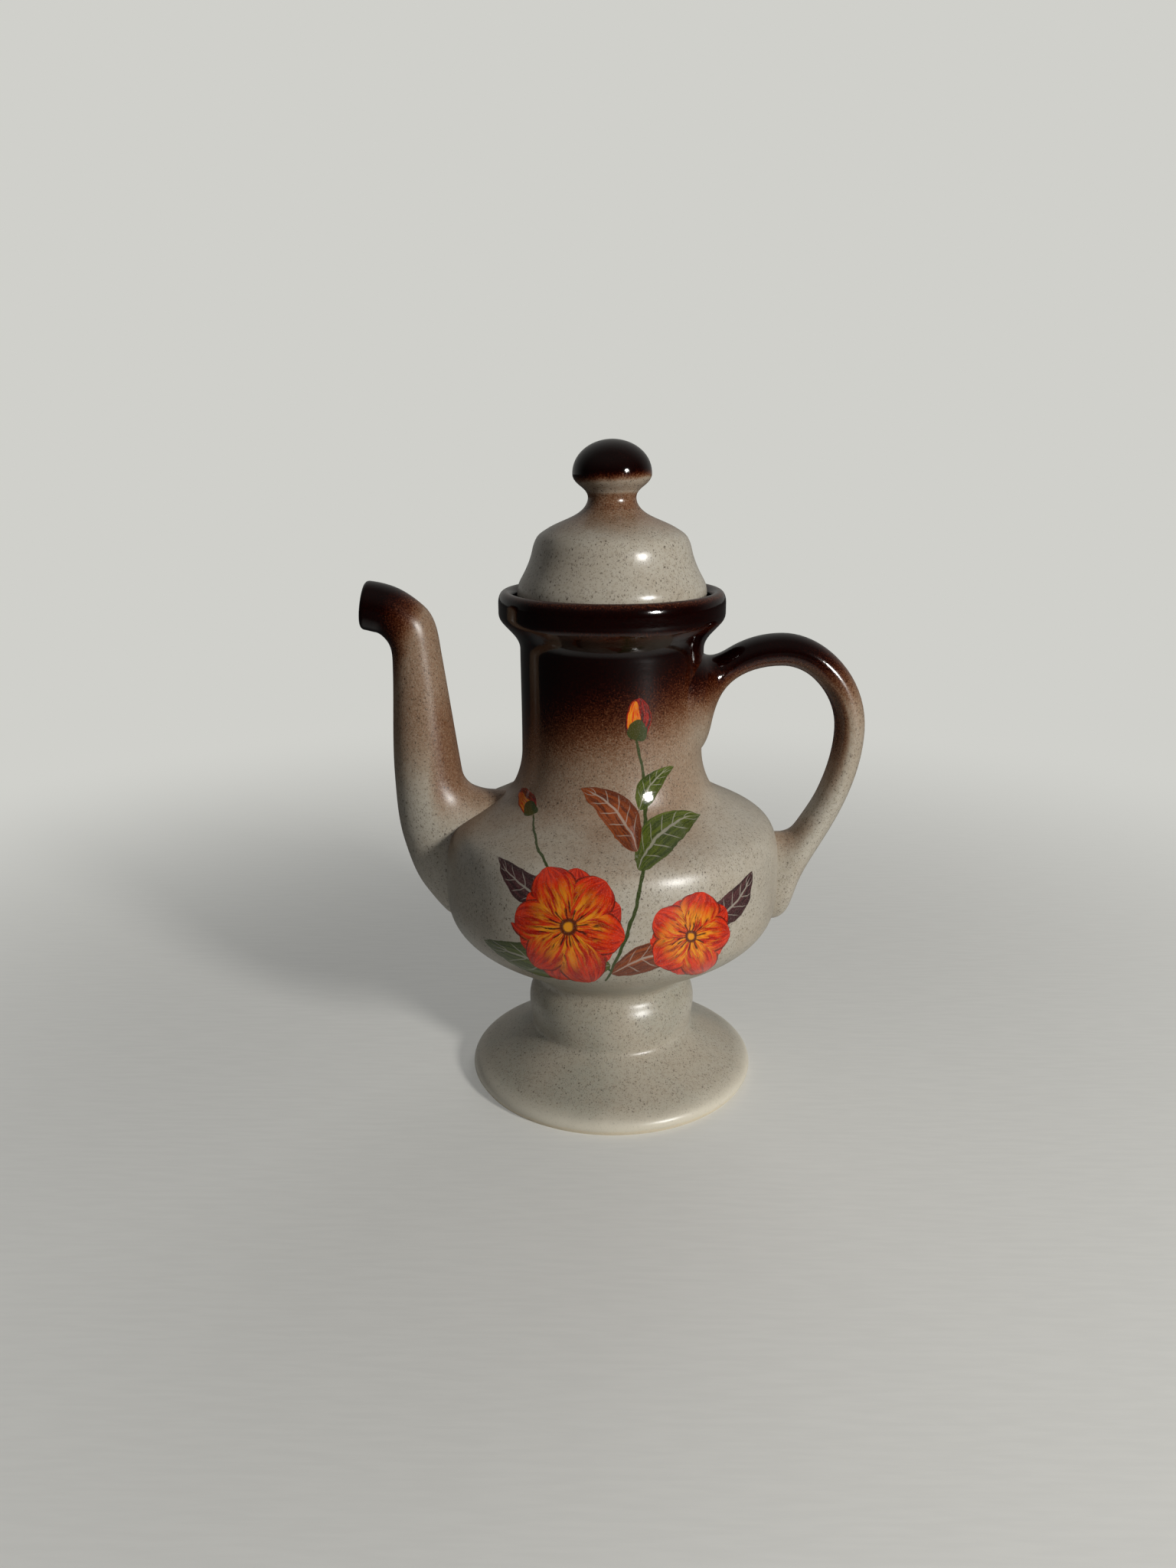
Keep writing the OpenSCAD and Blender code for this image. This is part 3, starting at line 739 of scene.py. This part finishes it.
def stroke_group():
    """Node group: mask of a leaf, petal or brush line, with the distance along and across it."""
    tree = bpy.data.node_groups.new("brush_stroke", "ShaderNodeTree")
    for name in ("U", "V", "Start U", "Start V", "Angle", "Length", "Half width", "Bend", "Taper", "Skew"):
        tree.interface.new_socket(name, in_out="INPUT", socket_type="NodeSocketFloat")
    for name in ("Mask", "Along", "Across"):
        tree.interface.new_socket(name, in_out="OUTPUT", socket_type="NodeSocketFloat")
    g = Graph(tree)
    u, v, start_u, start_v, angle, length, half_width, bend, taper, skew, _ = g.add("NodeGroupInput").outputs
    du, dv = g.minus(u, start_u), g.minus(v, start_v)
    cosine, sine = g.math("COSINE", angle), g.math("SINE", angle)
    along = g.math("DIVIDE", g.dot((du, dv), (cosine, sine)), length)
    side = g.minus(g.times(dv, cosine), g.times(du, sine))
    arch = g.times(along, g.minus(1.0, along), 4.0)
    side = g.minus(side, g.times(arch, bend))
    skewed = g.math("POWER", g.largest(along, 0.0), skew)
    swell = g.times(skewed, g.minus(1.0, skewed), 4.0)
    swell = g.times(g.math("POWER", g.largest(swell, 0.0), taper), half_width)
    across = g.math("DIVIDE", side, g.largest(swell, LEAST_HALF_WIDTH))
    mask = g.step(g.minus(swell, g.math("ABSOLUTE", side)), *STROKE_EDGE)
    mask = g.times(mask, g.math("GREATER_THAN", arch, 0.0))
    out = g.add("NodeGroupOutput")
    for key, value in enumerate((mask, along, across)):
        tree.links.new(value, out.inputs[key])
    return tree


class Painter:
    """Lays brush strokes over a ground colour, and keeps account of where there is paint."""

    def __init__(self, g, ground):
        self.g, self.colour, self.paint = g, ground, 0.0
        self.group = stroke_group()
        self.u = g.wavering(g.x, SHAKE_SIZES[0], SHAKE_REACH)
        up = g.dot((g.y, g.z), (math.sin(MOTIF_TILT), math.cos(MOTIF_TILT)))
        self.v = g.wavering(up, SHAKE_SIZES[1], SHAKE_REACH)
        self.front = g.times(g.step(g.y, *FRONT_FADE), g.math("LESS_THAN", g.facing[1], FRONT_FACING))

    def stroke(self, start, angle, length, half_width, bend, shape, at=None):
        """Outputs of one stroke: its mask, and the distance along and across it."""
        where = at or (self.u, self.v)
        values = (*where, *start, math.radians(angle), length, half_width, bend, *shape)
        return self.g.add("ShaderNodeGroup", dict(enumerate(values)), node_tree=self.group).outputs

    def lay(self, mask, colour):
        """Puts a colour where the mask is, on the pot's front."""
        mask = self.g.times(mask, self.front)
        self.colour = self.g.mix(mask, self.colour, colour)
        self.paint = self.g.largest(mask, self.paint)

    def streaks(self, along, across, seed, fade=STREAKS):
        """Strength of the bristles' streaks on a stroke. Each seed has its own."""
        g = self.g
        inputs = {0: g.times(along, STREAK_STRETCH[0]), 1: g.times(across, STREAK_STRETCH[1]), 2: seed}
        where = g.add("ShaderNodeCombineXYZ", inputs).outputs[0]
        return g.step(g.noise(where, *STREAK_NOISE), *fade)

    def leaf(self, seed, start, angle, length, half_width, bend, light, dark):
        g = self.g
        mask, along, across = self.stroke(start, angle, length, half_width, bend, LEAF_SHAPE)
        off = g.math("ABSOLUTE", across)
        colour = g.mix(self.streaks(along, across, seed), light, dark)
        colour = g.mix(g.step(across, *LEAF_SHADE), colour, dark)
        rib = g.math("PINGPONG", g.math("MULTIPLY_ADD", off, RIB_LEAN, along), HALF_PITCH)
        rib = g.times(g.step(rib, *RIB_LINE), g.step(along, *RIB_START), g.step(off, *RIB_END))
        midrib = g.times(g.step(off, *MIDRIB_LINE), g.step(along, *MIDRIB_END))
        self.lay(mask, g.mix(g.largest(midrib, rib), colour, BEIGE))

    def bud(self, index, start, angle, length, half_width):
        """A dark back petal, a bright front one and the green cup that holds them."""
        back, front, cup = [
            self.stroke(start, angle + turn, share * length, width * half_width, bend, shape)
            for turn, share, width, bend, shape in (BUD_BACK, BUD_FRONT, BUD_CUP)]
        dark = self.streaks(back[1], back[2], BACK_SEED + index)
        self.lay(back[0], self.g.mix(dark, RED_DEEP, LINE))
        bright = self.streaks(front[1], front[2], FRONT_SEED + index)
        self.lay(front[0], self.g.mix(bright, ORANGE_RED, YELLOW))
        self.lay(cup[0], OLIVE_DARK)

    def petals(self, radius, turn, seed, sector, lead, reach, length, half_width, phase):
        """One layer of petals around a flower's centre: a single stroke, folded once for each sector."""
        g = self.g
        number = g.math("ROUND", g.math("DIVIDE", g.minus(turn, lead), sector))
        folded = g.minus(g.minus(turn, lead), g.times(number, sector))
        wave = g.math("SINE", g.math("MULTIPLY_ADD", number, UNEVEN_STEP, phase))
        far = g.math("DIVIDE", radius, g.math("MULTIPLY_ADD", wave, UNEVEN_REACH, reach))
        at = (g.times(far, g.math("COSINE", folded)), g.times(far, g.math("SINE", folded)))
        mask, along, across = self.stroke((0, 0), 0, length, half_width, 0.0, PETAL_SHAPE, at)
        seed = g.math("MULTIPLY_ADD", number, PETAL_STEP, seed)
        colour = g.mix(self.streaks(along, across, seed), ORANGE_RED, RED_DEEP)
        glow = self.streaks(along, across, g.math("ADD", seed, GLOW_SEED))
        colour = g.mix(g.times(g.step(along, *GLOW_FADE), glow), colour, YELLOW)
        dark = self.streaks(along, across, g.math("ADD", seed, DARK_SEED), FINE_STREAKS)
        colour = g.mix(g.times(g.step(along, *DARK_FADE), dark), colour, LINE)
        self.lay(mask, g.mix(g.step(g.math("ABSOLUTE", across), *OUTLINE_FADE), colour, LINE))

    def flower(self, index, centre, petals, length, half_width, first):
        """Two layers of petals, the front one turned by half a petal, and an eye."""
        g = self.g
        du, dv = g.minus(self.u, centre[0]), g.minus(self.v, centre[1])
        radius, turn = g.length(du, dv), g.math("ARCTAN2", dv, du)
        sector = 2 * math.pi / petals
        for layer, reach in enumerate(PETAL_LAYERS):
            lead = math.radians(first) + sector * layer / 2
            seed = FLOWER_SEED + FLOWER_STEP * index + LAYER_STEP * layer
            self.petals(radius, turn, seed, sector, lead, reach, length, half_width, index)
        spokes = g.step(g.math("SINE", g.times(turn, 2 * petals)), *SPOKE_FADE)
        disc, ring_disc, dot = [g.step(radius, outer * length, inner * length)
                                for outer, inner in (SPOKE_DISC, RING_DISC, DOT_DISC)]
        self.lay(g.times(spokes, disc), LINE)
        self.lay(ring_disc, RUST_DARK)
        self.lay(dot, YELLOW)


def motif(g, ground):
    """Paints the spray over the ground and returns the colour and where there is paint."""
    painter = Painter(g, ground)
    stems = [painter.stroke(*stem, STEM_SHAPE)[0] for stem in STEMS]
    painter.lay(g.largest(*stems), OLIVE_DARK)
    for paint_one, rows in ((painter.leaf, LEAVES), (painter.bud, BUDS), (painter.flower, FLOWERS)):
        for index, row in enumerate(rows):
            paint_one(index, *row)
    pinholes = g.times(g.step(g.noise(g.place, *PINHOLE_NOISE), *PINHOLE_FADE), painter.paint)
    return g.mix(pinholes, painter.colour, BEIGE_WARM), painter.paint


# ---- Materials of the pieces ----
# Heights, distances and the waves of an edge, (size, reach), are in millimetres. What is named facing or
# across runs from about -1 to 1. A gloss is the roughness where the surface is dry and where it is wet.

NECK_SLANT, NECK_WAVES, NECK_CURVE = -0.27, (20.0, 6.0), 1.4
NECK_FADE = (CREASE_Z + 12.5, COVE_Z - 0.5)

BODY_HAZE, BODY_HAZE_WAVES, BODY_HAZE_SIDE = (CREASE_Z - 20, CREASE_Z + 6, 0.25), (25.0, 24.0), (58.0, 18.0)
STAIN_OUT, STAIN_RISE, STAIN_SIDE = (-36.0, -62.0, 0.36), (CREASE_Z - 29, CREASE_Z - 7), (38.0, 14.0)
LIP_THIN = (RIM_Z - 2.6, RIM_Z - 0.6, 0.3)
ROLL_THIN, ROLL_END = (COVE_Z + 7.5, COVE_Z + 9.5, 0.2), (COVE_Z + 13, COVE_Z + 11)
LEDGE_IN, LEDGE_OUT = (MOUTH_R - 1.0, MOUTH_R - 0.2), (GALLERY_R - 0.9, GALLERY_R - 1.5)
LEDGE_UP = (LEDGE_Z - 1.2, LEDGE_Z - 0.6)
INSIDE_BELOW = LEDGE_Z - 0.5
# Heights over which the beige turns greyer and darker downwards: partly its own tone, partly painted shade
COOL_SHADE_BELOW = (FOOT_H + 42.5, FOOT_H + 12.5)
BODY_GLOSS, CLAY_ROUGHNESS = (0.34, 0.09), 0.8
PAINT_RELIEF = 0.1

FOOT_WAVES, FOOT_BARE, FOOT_CREAM = (10.0, 1.8), (2.5, 1.8), (9.5, 3.6, 0.75)
FOOT_NOISE, FOOT_TONES = (0.03, 2.0), (0.42, 0.62, 0.5)
FOOT_GLOSS = (0.85, 0.33)

TUBE_WAVES = (14.0, 6.0)

TUBE_LEAN_FROM, TUBE_LEAN = CREASE_Z + 9, 0.055
CROOK_SLOPE, CROOK_FADE, CROOK_RISE = (0.8, 0.35), (113.0, 137.0), (CREASE_Z + 11, CREASE_Z + 33)
BACK_ACROSS, BACK_RISE = (-0.2, 0.6, 0.38), (CREASE_Z - 17, CREASE_Z + 9)
BACK_THIN = (CREASE_Z + 29, CREASE_Z + 47, 0.3)
SPOUT_HAZE = (CREASE_Z - 13, CREASE_Z + 33, 0.28)
SPOUT_GLOSS = (0.37, 0.13)

LOOP_CENTRE = (BELLY_R - 4, loop_at(0.62))
ARCH_RISE, ARCH_OUT = (CREASE_Z + 30, CREASE_Z + 56), (106.0, 67.0)
HANDLE_ROOT = (60.0, 42.0)
UNDER_FACING, UNDER_OUT = (-0.02, 0.98, 0.7), (31.0, 47.0)
# Brown on the loop's inward faces and in its crotch by the tail: partly spray, partly painted shade
LOOP_FACING, LOOP_RISE, LOOP_OUT = (-0.15, 0.85, 0.66), (CREASE_Z - 19, CREASE_Z + 45), (68.0, 86.0)
CROTCH_FACING, CROTCH_FALL = (0.0, 0.8, 0.22), (CREASE_Z - 1, CREASE_Z - 15)
HANDLE_HAZE = (CREASE_Z - 5, CREASE_Z + 48, 0.26)
HANDLE_GLOSS = (0.34, 0.1)

LID_WAVES, LID_STAIN = (11.0, 4.0), (KNOB_Z - 13, KNOB_Z + 1, 0.36)
LID_BARE = (SEAT_Z + 0.9, SEAT_Z + 0.4)
LID_GLOSS = (0.8, 0.25)

KNOB_WAVES, KNOB_SLANT, KNOB_LEAST = (7.0, 1.4), -0.08, 0.15
KNOB_STEM, KNOB_DOME = (KNOB_Z + 7.2, KNOB_Z + 4.6, 0.4), (KNOB_Z + 8.2, KNOB_Z + 14.0)
KNOB_GLOSS = (0.26, 0.07)


def neck_spray(g):
    """Cover of brown glaze on the neck and what joins it: lower on the spout's side, with a soft tail."""
    slant = g.math("MULTIPLY_ADD", g.x, NECK_SLANT, g.z)
    return g.math("POWER", g.step(g.wavering(slant, *NECK_WAVES), *NECK_FADE), NECK_CURVE)


def body_material():
    """Brown from the collar down and beside the spout, thin on the lip, none inside or on the bare ledge."""
    g = Surface("body_glaze")
    haze = g.times(g.step(g.wavering(g.z, *BODY_HAZE_WAVES), *BODY_HAZE), g.step(g.x, *BODY_HAZE_SIDE))
    stain = g.times(g.step(g.x, *STAIN_OUT), g.step(g.z, *STAIN_RISE),
                    g.step(g.math("ABSOLUTE", g.y), *STAIN_SIDE))
    roll = g.times(g.step(g.z, *ROLL_THIN), g.step(g.z, *ROLL_END))
    cover = g.largest(over_haze(g, neck_spray(g), haze), stain)
    cover = g.minus(cover, g.largest(g.step(g.z, *LIP_THIN), roll))
    radius = g.length(g.x, g.y)
    bare = g.times(g.step(radius, *LEDGE_OUT), g.times(g.step(radius, *LEDGE_IN), g.step(g.z, *LEDGE_UP)))
    outward = g.dot((g.x, g.y), g.facing)
    inside = g.times(g.math("LESS_THAN", outward, 0.0), g.math("LESS_THAN", g.z, INSIDE_BELOW))
    cover = g.times(cover, g.minus(1.0, g.largest(bare, inside)))
    base = g.mix(g.step(g.z, *COOL_SHADE_BELOW), BEIGE, BEIGE_COOL_SHADED)
    colour, brown = sprayed(g, glaze_ground(g, base), cover)
    colour, paint = motif(g, colour)
    colour = g.mix(bare, colour, clay(g))
    roughness = g.largest(gloss(g, g.largest(brown, paint), *BODY_GLOSS), g.times(bare, CLAY_ROUGHNESS))
    return finished(g, colour, roughness, g.times(paint, PAINT_RELIEF))


def foot_material():
    """Beige that thins to cream towards the rim, with bare clay where the foot rests."""
    g = Surface("foot_glaze")
    edge = g.wavering(g.z, *FOOT_WAVES)
    bare = g.step(edge, *FOOT_BARE)
    # The foot's beige is mostly the greyer, darker one: partly its own tone, partly painted shade
    base = g.mix(g.step(g.noise(g.place, *FOOT_NOISE), *FOOT_TONES), BEIGE_COOL_SHADED, BEIGE)
    colour = g.mix(g.step(edge, *FOOT_CREAM), glaze_ground(g, base), CREAM)
    colour = g.mix(bare, colour, clay(g))
    return finished(g, colour, gloss(g, g.minus(1.0, bare), *FOOT_GLOSS))


def spout_material():
    """Brown on the crook below the mouth and, thinner, down the tube's side towards the neck."""
    g = Surface("spout_glaze")
    out = g.times(g.x, -1.0)
    crook = g.wavering(g.dot((out, g.z), CROOK_SLOPE), *TUBE_WAVES)
    crook = g.times(g.step(crook, *CROOK_FADE), g.step(g.z, *CROOK_RISE))
    middle = g.math("MULTIPLY_ADD", g.minus(g.z, TUBE_LEAN_FROM), TUBE_LEAN, (TUBE_IN + TUBE_OUT) / 2)
    across = g.math("DIVIDE", g.minus(middle, out), SPOUT_HALF_W - 1)
    back = g.times(g.step(across, *BACK_ACROSS), g.step(g.z, *BACK_RISE),
                   g.minus(1.0, g.step(g.z, *BACK_THIN)))
    cover = g.largest(crook, back, g.step(g.z, *SPOUT_HAZE))
    colour, brown = sprayed(g, glaze_ground(g, BEIGE), cover)
    return finished(g, colour, gloss(g, brown, *SPOUT_GLOSS))


def handle_material():
    """Brown on the arch and the root, less of it under the arch, and on the loop's inside a thinner spray
    with painted shade.
    """
    g = Surface("handle_glaze")
    to_x, to_z = g.minus(LOOP_CENTRE[0], g.x), g.minus(LOOP_CENTRE[1], g.z)
    facing_in = g.dot((to_x, to_z), (g.facing[0], g.facing[2]))
    inward = g.math("DIVIDE", facing_in, g.length(to_x, to_z))
    drift = g.wavering(g.z, *TUBE_WAVES)
    arch = g.times(g.step(drift, *ARCH_RISE), g.step(g.x, *ARCH_OUT))
    root = g.times(neck_spray(g), g.step(g.x, *HANDLE_ROOT))
    under = g.times(g.step(inward, *UNDER_FACING), g.step(g.x, *UNDER_OUT))
    over = g.times(g.largest(arch, root), g.minus(1.0, under))
    # Inward faces of the loop and its crotch get browner: partly spray, partly painted shade
    loop_spray_and_shade = g.times(g.step(inward, *LOOP_FACING), g.step(drift, *LOOP_RISE), g.step(g.x, *LOOP_OUT))
    crotch_spray_and_shade = g.times(g.step(inward, *CROTCH_FACING), g.step(g.z, *CROTCH_FALL))
    cover = g.largest(over_haze(g, over, g.step(g.z, *HANDLE_HAZE)), loop_spray_and_shade, crotch_spray_and_shade)
    colour, brown = sprayed(g, glaze_ground(g, BEIGE), cover)
    return finished(g, colour, gloss(g, brown, *HANDLE_GLOSS))


def lid_material():
    """A brown stain around the knob, and bare clay below the rim."""
    g = Surface("lid_glaze")
    stain = g.step(g.wavering(g.z, *LID_WAVES), *LID_STAIN)
    colour = sprayed(g, glaze_ground(g, BEIGE), stain)[0]
    bare = g.step(g.z, *LID_BARE)
    return finished(g, g.mix(bare, colour, clay(g)), gloss(g, g.minus(1.0, bare), *LID_GLOSS))


def knob_material():
    """Brown dome, and a thinner ring of brown around the stem."""
    g = Surface("knob_glaze")
    drift = g.wavering(g.z, *KNOB_WAVES)
    dome = g.step(g.math("MULTIPLY_ADD", g.x, KNOB_SLANT, drift), *KNOB_DOME)
    cover = g.largest(g.step(drift, *KNOB_STEM), dome, KNOB_LEAST)
    colour, brown = sprayed(g, glaze_ground(g, BEIGE), cover)
    return finished(g, colour, gloss(g, brown, *KNOB_GLOSS))


# ---- The pieces, each on its body and in place of its CAD node ----

PIECES = [
    (build_body, body_material, "pot_body", "pot", "beige_glaze"),
    (build_foot, foot_material, "pedestal_foot", "pot", "beige_glaze"),
    (build_spout, spout_material, "spout", "pot", "beige_glaze"),
    (build_handle, handle_material, "handle", "pot", "beige_glaze"),
    (build_lid, lid_material, "lid", "lid", "beige_glaze"),
    (build_knob, knob_material, "lid_knob", "lid", "brown_glaze"),
]


def place_pieces():
    for build, material, node, body, slot in PIECES:
        piece = build()
        piece.data.materials.clear()
        piece.data.materials.append(material())
        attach(piece, body)
        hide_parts(node)


# ---- Studio and camera, in metres ----

IMAGE_W, IMAGE_H = 1536, 2048
FOCAL_PX = 1527.0
SENSOR_W = 36.0
CAMERA_AT = Vector((0.0, -0.437, 0.2513))
CAMERA_DOWN, CAMERA_YAW, CAMERA_ROLL = 16.65, 1.21, -0.26
NEAREST = 0.01

# Lamps: name, place, size, watts, colour, whether the glaze mirrors it. All point at the pot's middle.
LAMPS = [
    ("key", (0.82, -0.86, 0.50), 0.20, 13.0, (1.0, 0.985, 0.95), True),
    ("fill", (-1.1, -0.9, 0.9), 1.0, 1.1, (0.95, 0.97, 1.0), False),
    ("back", (0.4, 1.2, 0.9), 0.8, 4.2, (1.0, 1.0, 1.0), False),
]
LAMP_TARGET = Vector((0, 0, 0.12))

# World: what the camera sees, what lights the pot, and what the glaze mirrors, brighter behind and above
BACKDROP = srgb(208, 208, 203)
SKY, SKY_STRENGTH = (0.94, 0.96, 1.0, 1.0), 0.11
MIRRORED_BEHIND, MIRRORED_ABOVE, MIRRORED_LEAST = (-0.1, 0.9, 0.34), (0.1, 1.0, 0.12), 0.03

# Floor: half its side, its paint, and where it goes dark for light and melts into the background for the
# camera, in millimetres from the pot's axis
FLOOR_REACH = 4.0
BOARD, BOARD_GRAIN, BOARD_ROUGHNESS = srgb(222, 221, 216), srgb(212, 211, 206), 0.6
GRAIN_STRETCH, GRAIN_NOISE, GRAIN_FADE = (0.12, 1.0, 1.0), (0.5, 4.0), (0.3, 0.7, 0.5)
UNLIT, UNLIT_FADE = (0.02, 0.02, 0.02, 1.0), (110.0, 260.0, 0.95)
MELT_FADE, MELT_LEAST = (140.0, 620.0, 0.75), 0.25


def add_camera():
    down, roll = math.radians(CAMERA_DOWN), math.radians(CAMERA_ROLL)
    ahead = Vector((0, math.cos(down), -math.sin(down)))
    right = Vector((1, 0, 0))
    up = right.cross(ahead)
    yaw = Matrix.Rotation(math.radians(CAMERA_YAW), 3, "Z")
    ahead, right, up = yaw @ ahead, yaw @ right, yaw @ up
    side = right * math.cos(roll) + up * math.sin(roll)
    top = up * math.cos(roll) - right * math.sin(roll)
    data = bpy.data.cameras.new("camera")
    data.sensor_width = SENSOR_W
    data.lens = FOCAL_PX / max(IMAGE_W, IMAGE_H) * SENSOR_W
    data.clip_start = NEAREST
    camera = bpy.data.objects.new("camera", data)
    bpy.context.scene.collection.objects.link(camera)
    camera.matrix_world = Matrix.Translation(CAMERA_AT) @ Matrix((side, top, -ahead)).transposed().to_4x4()
    bpy.context.scene.camera = camera


def add_lamp(name, at, size, watts, colour, mirrored):
    data = bpy.data.lights.new(name, "AREA")
    data.shape, data.size, data.energy, data.color = "DISK", size, watts, colour
    lamp = bpy.data.objects.new(name, data)
    lamp.location = at
    lamp.visible_glossy = mirrored
    lamp.rotation_euler = (LAMP_TARGET - Vector(at)).to_track_quat("-Z", "Y").to_euler()
    bpy.context.scene.collection.objects.link(lamp)


def add_world():
    """Dim even light. The camera sees a plain pale backdrop. Glaze mirrors it, dimmer on the near side."""
    world = bpy.data.worlds.new("studio")
    bpy.context.scene.world = world
    world.use_nodes = True
    g = Graph(world.node_tree)
    world.node_tree.nodes.clear()
    direction = g.parts(g.add("ShaderNodeTexCoord").outputs["Generated"])
    glow = g.math("ADD", g.step(direction[1], *MIRRORED_BEHIND), g.step(direction[2], *MIRRORED_ABOVE))
    glow = g.math("ADD", glow, MIRRORED_LEAST)
    seen, lit, mirrored = [
        g.add("ShaderNodeBackground", {"Color": colour, "Strength": strength}).outputs[0]
        for colour, strength in ((BACKDROP, 1.0), (SKY, SKY_STRENGTH), (BACKDROP, glow))]
    ray = g.add("ShaderNodeLightPath").outputs
    shine = g.largest(ray["Is Glossy Ray"], ray["Is Transmission Ray"])
    both = g.add("ShaderNodeMixShader", {0: shine, 1: lit, 2: mirrored}).outputs[0]
    both = g.add("ShaderNodeMixShader", {0: ray["Is Camera Ray"], 1: both, 2: seen}).outputs[0]
    g.add("ShaderNodeOutputWorld", {"Surface": both})


def floor_material():
    """Pale painted board, dark to the light and background to the camera away from the pot."""
    g = Surface("floor_paint")
    grain = g.noise(g.stretch(g.place, GRAIN_STRETCH), *GRAIN_NOISE)
    away = g.length(g.x, g.y)
    board = g.mix(g.step(grain, *GRAIN_FADE), BOARD, BOARD_GRAIN)
    ray = g.add("ShaderNodeLightPath").outputs["Is Camera Ray"]
    board = g.mix(g.times(g.step(away, *UNLIT_FADE), g.minus(1.0, ray)), board, UNLIT)
    paint = g.add("ShaderNodeBsdfPrincipled", {"Base Color": board, "Roughness": BOARD_ROUGHNESS}).outputs[0]
    far = g.add("ShaderNodeEmission", {"Color": BACKDROP, "Strength": 1.0}).outputs[0]
    melt = g.times(g.math("ADD", g.step(away, *MELT_FADE), MELT_LEAST), ray)
    both = g.add("ShaderNodeMixShader", {0: melt, 1: paint, 2: far}).outputs[0]
    g.add("ShaderNodeOutputMaterial", {"Surface": both})
    return g.material


def add_floor():
    mesh = bpy.data.meshes.new("floor")
    corners = [(x * FLOOR_REACH, y * FLOOR_REACH, 0) for x, y in ((-1, -1), (1, -1), (1, 1), (-1, 1))]
    mesh.from_pydata(corners, [], [(0, 1, 2, 3)])
    floor = bpy.data.objects.new("floor", mesh)
    bpy.context.scene.collection.objects.link(floor)
    mesh.materials.append(floor_material())


def add_studio():
    add_world()
    add_floor()
    for lamp in LAMPS:
        add_lamp(*lamp)
    bpy.context.scene.view_settings.view_transform = "Standard"


add_camera()
add_studio()
place_pieces()
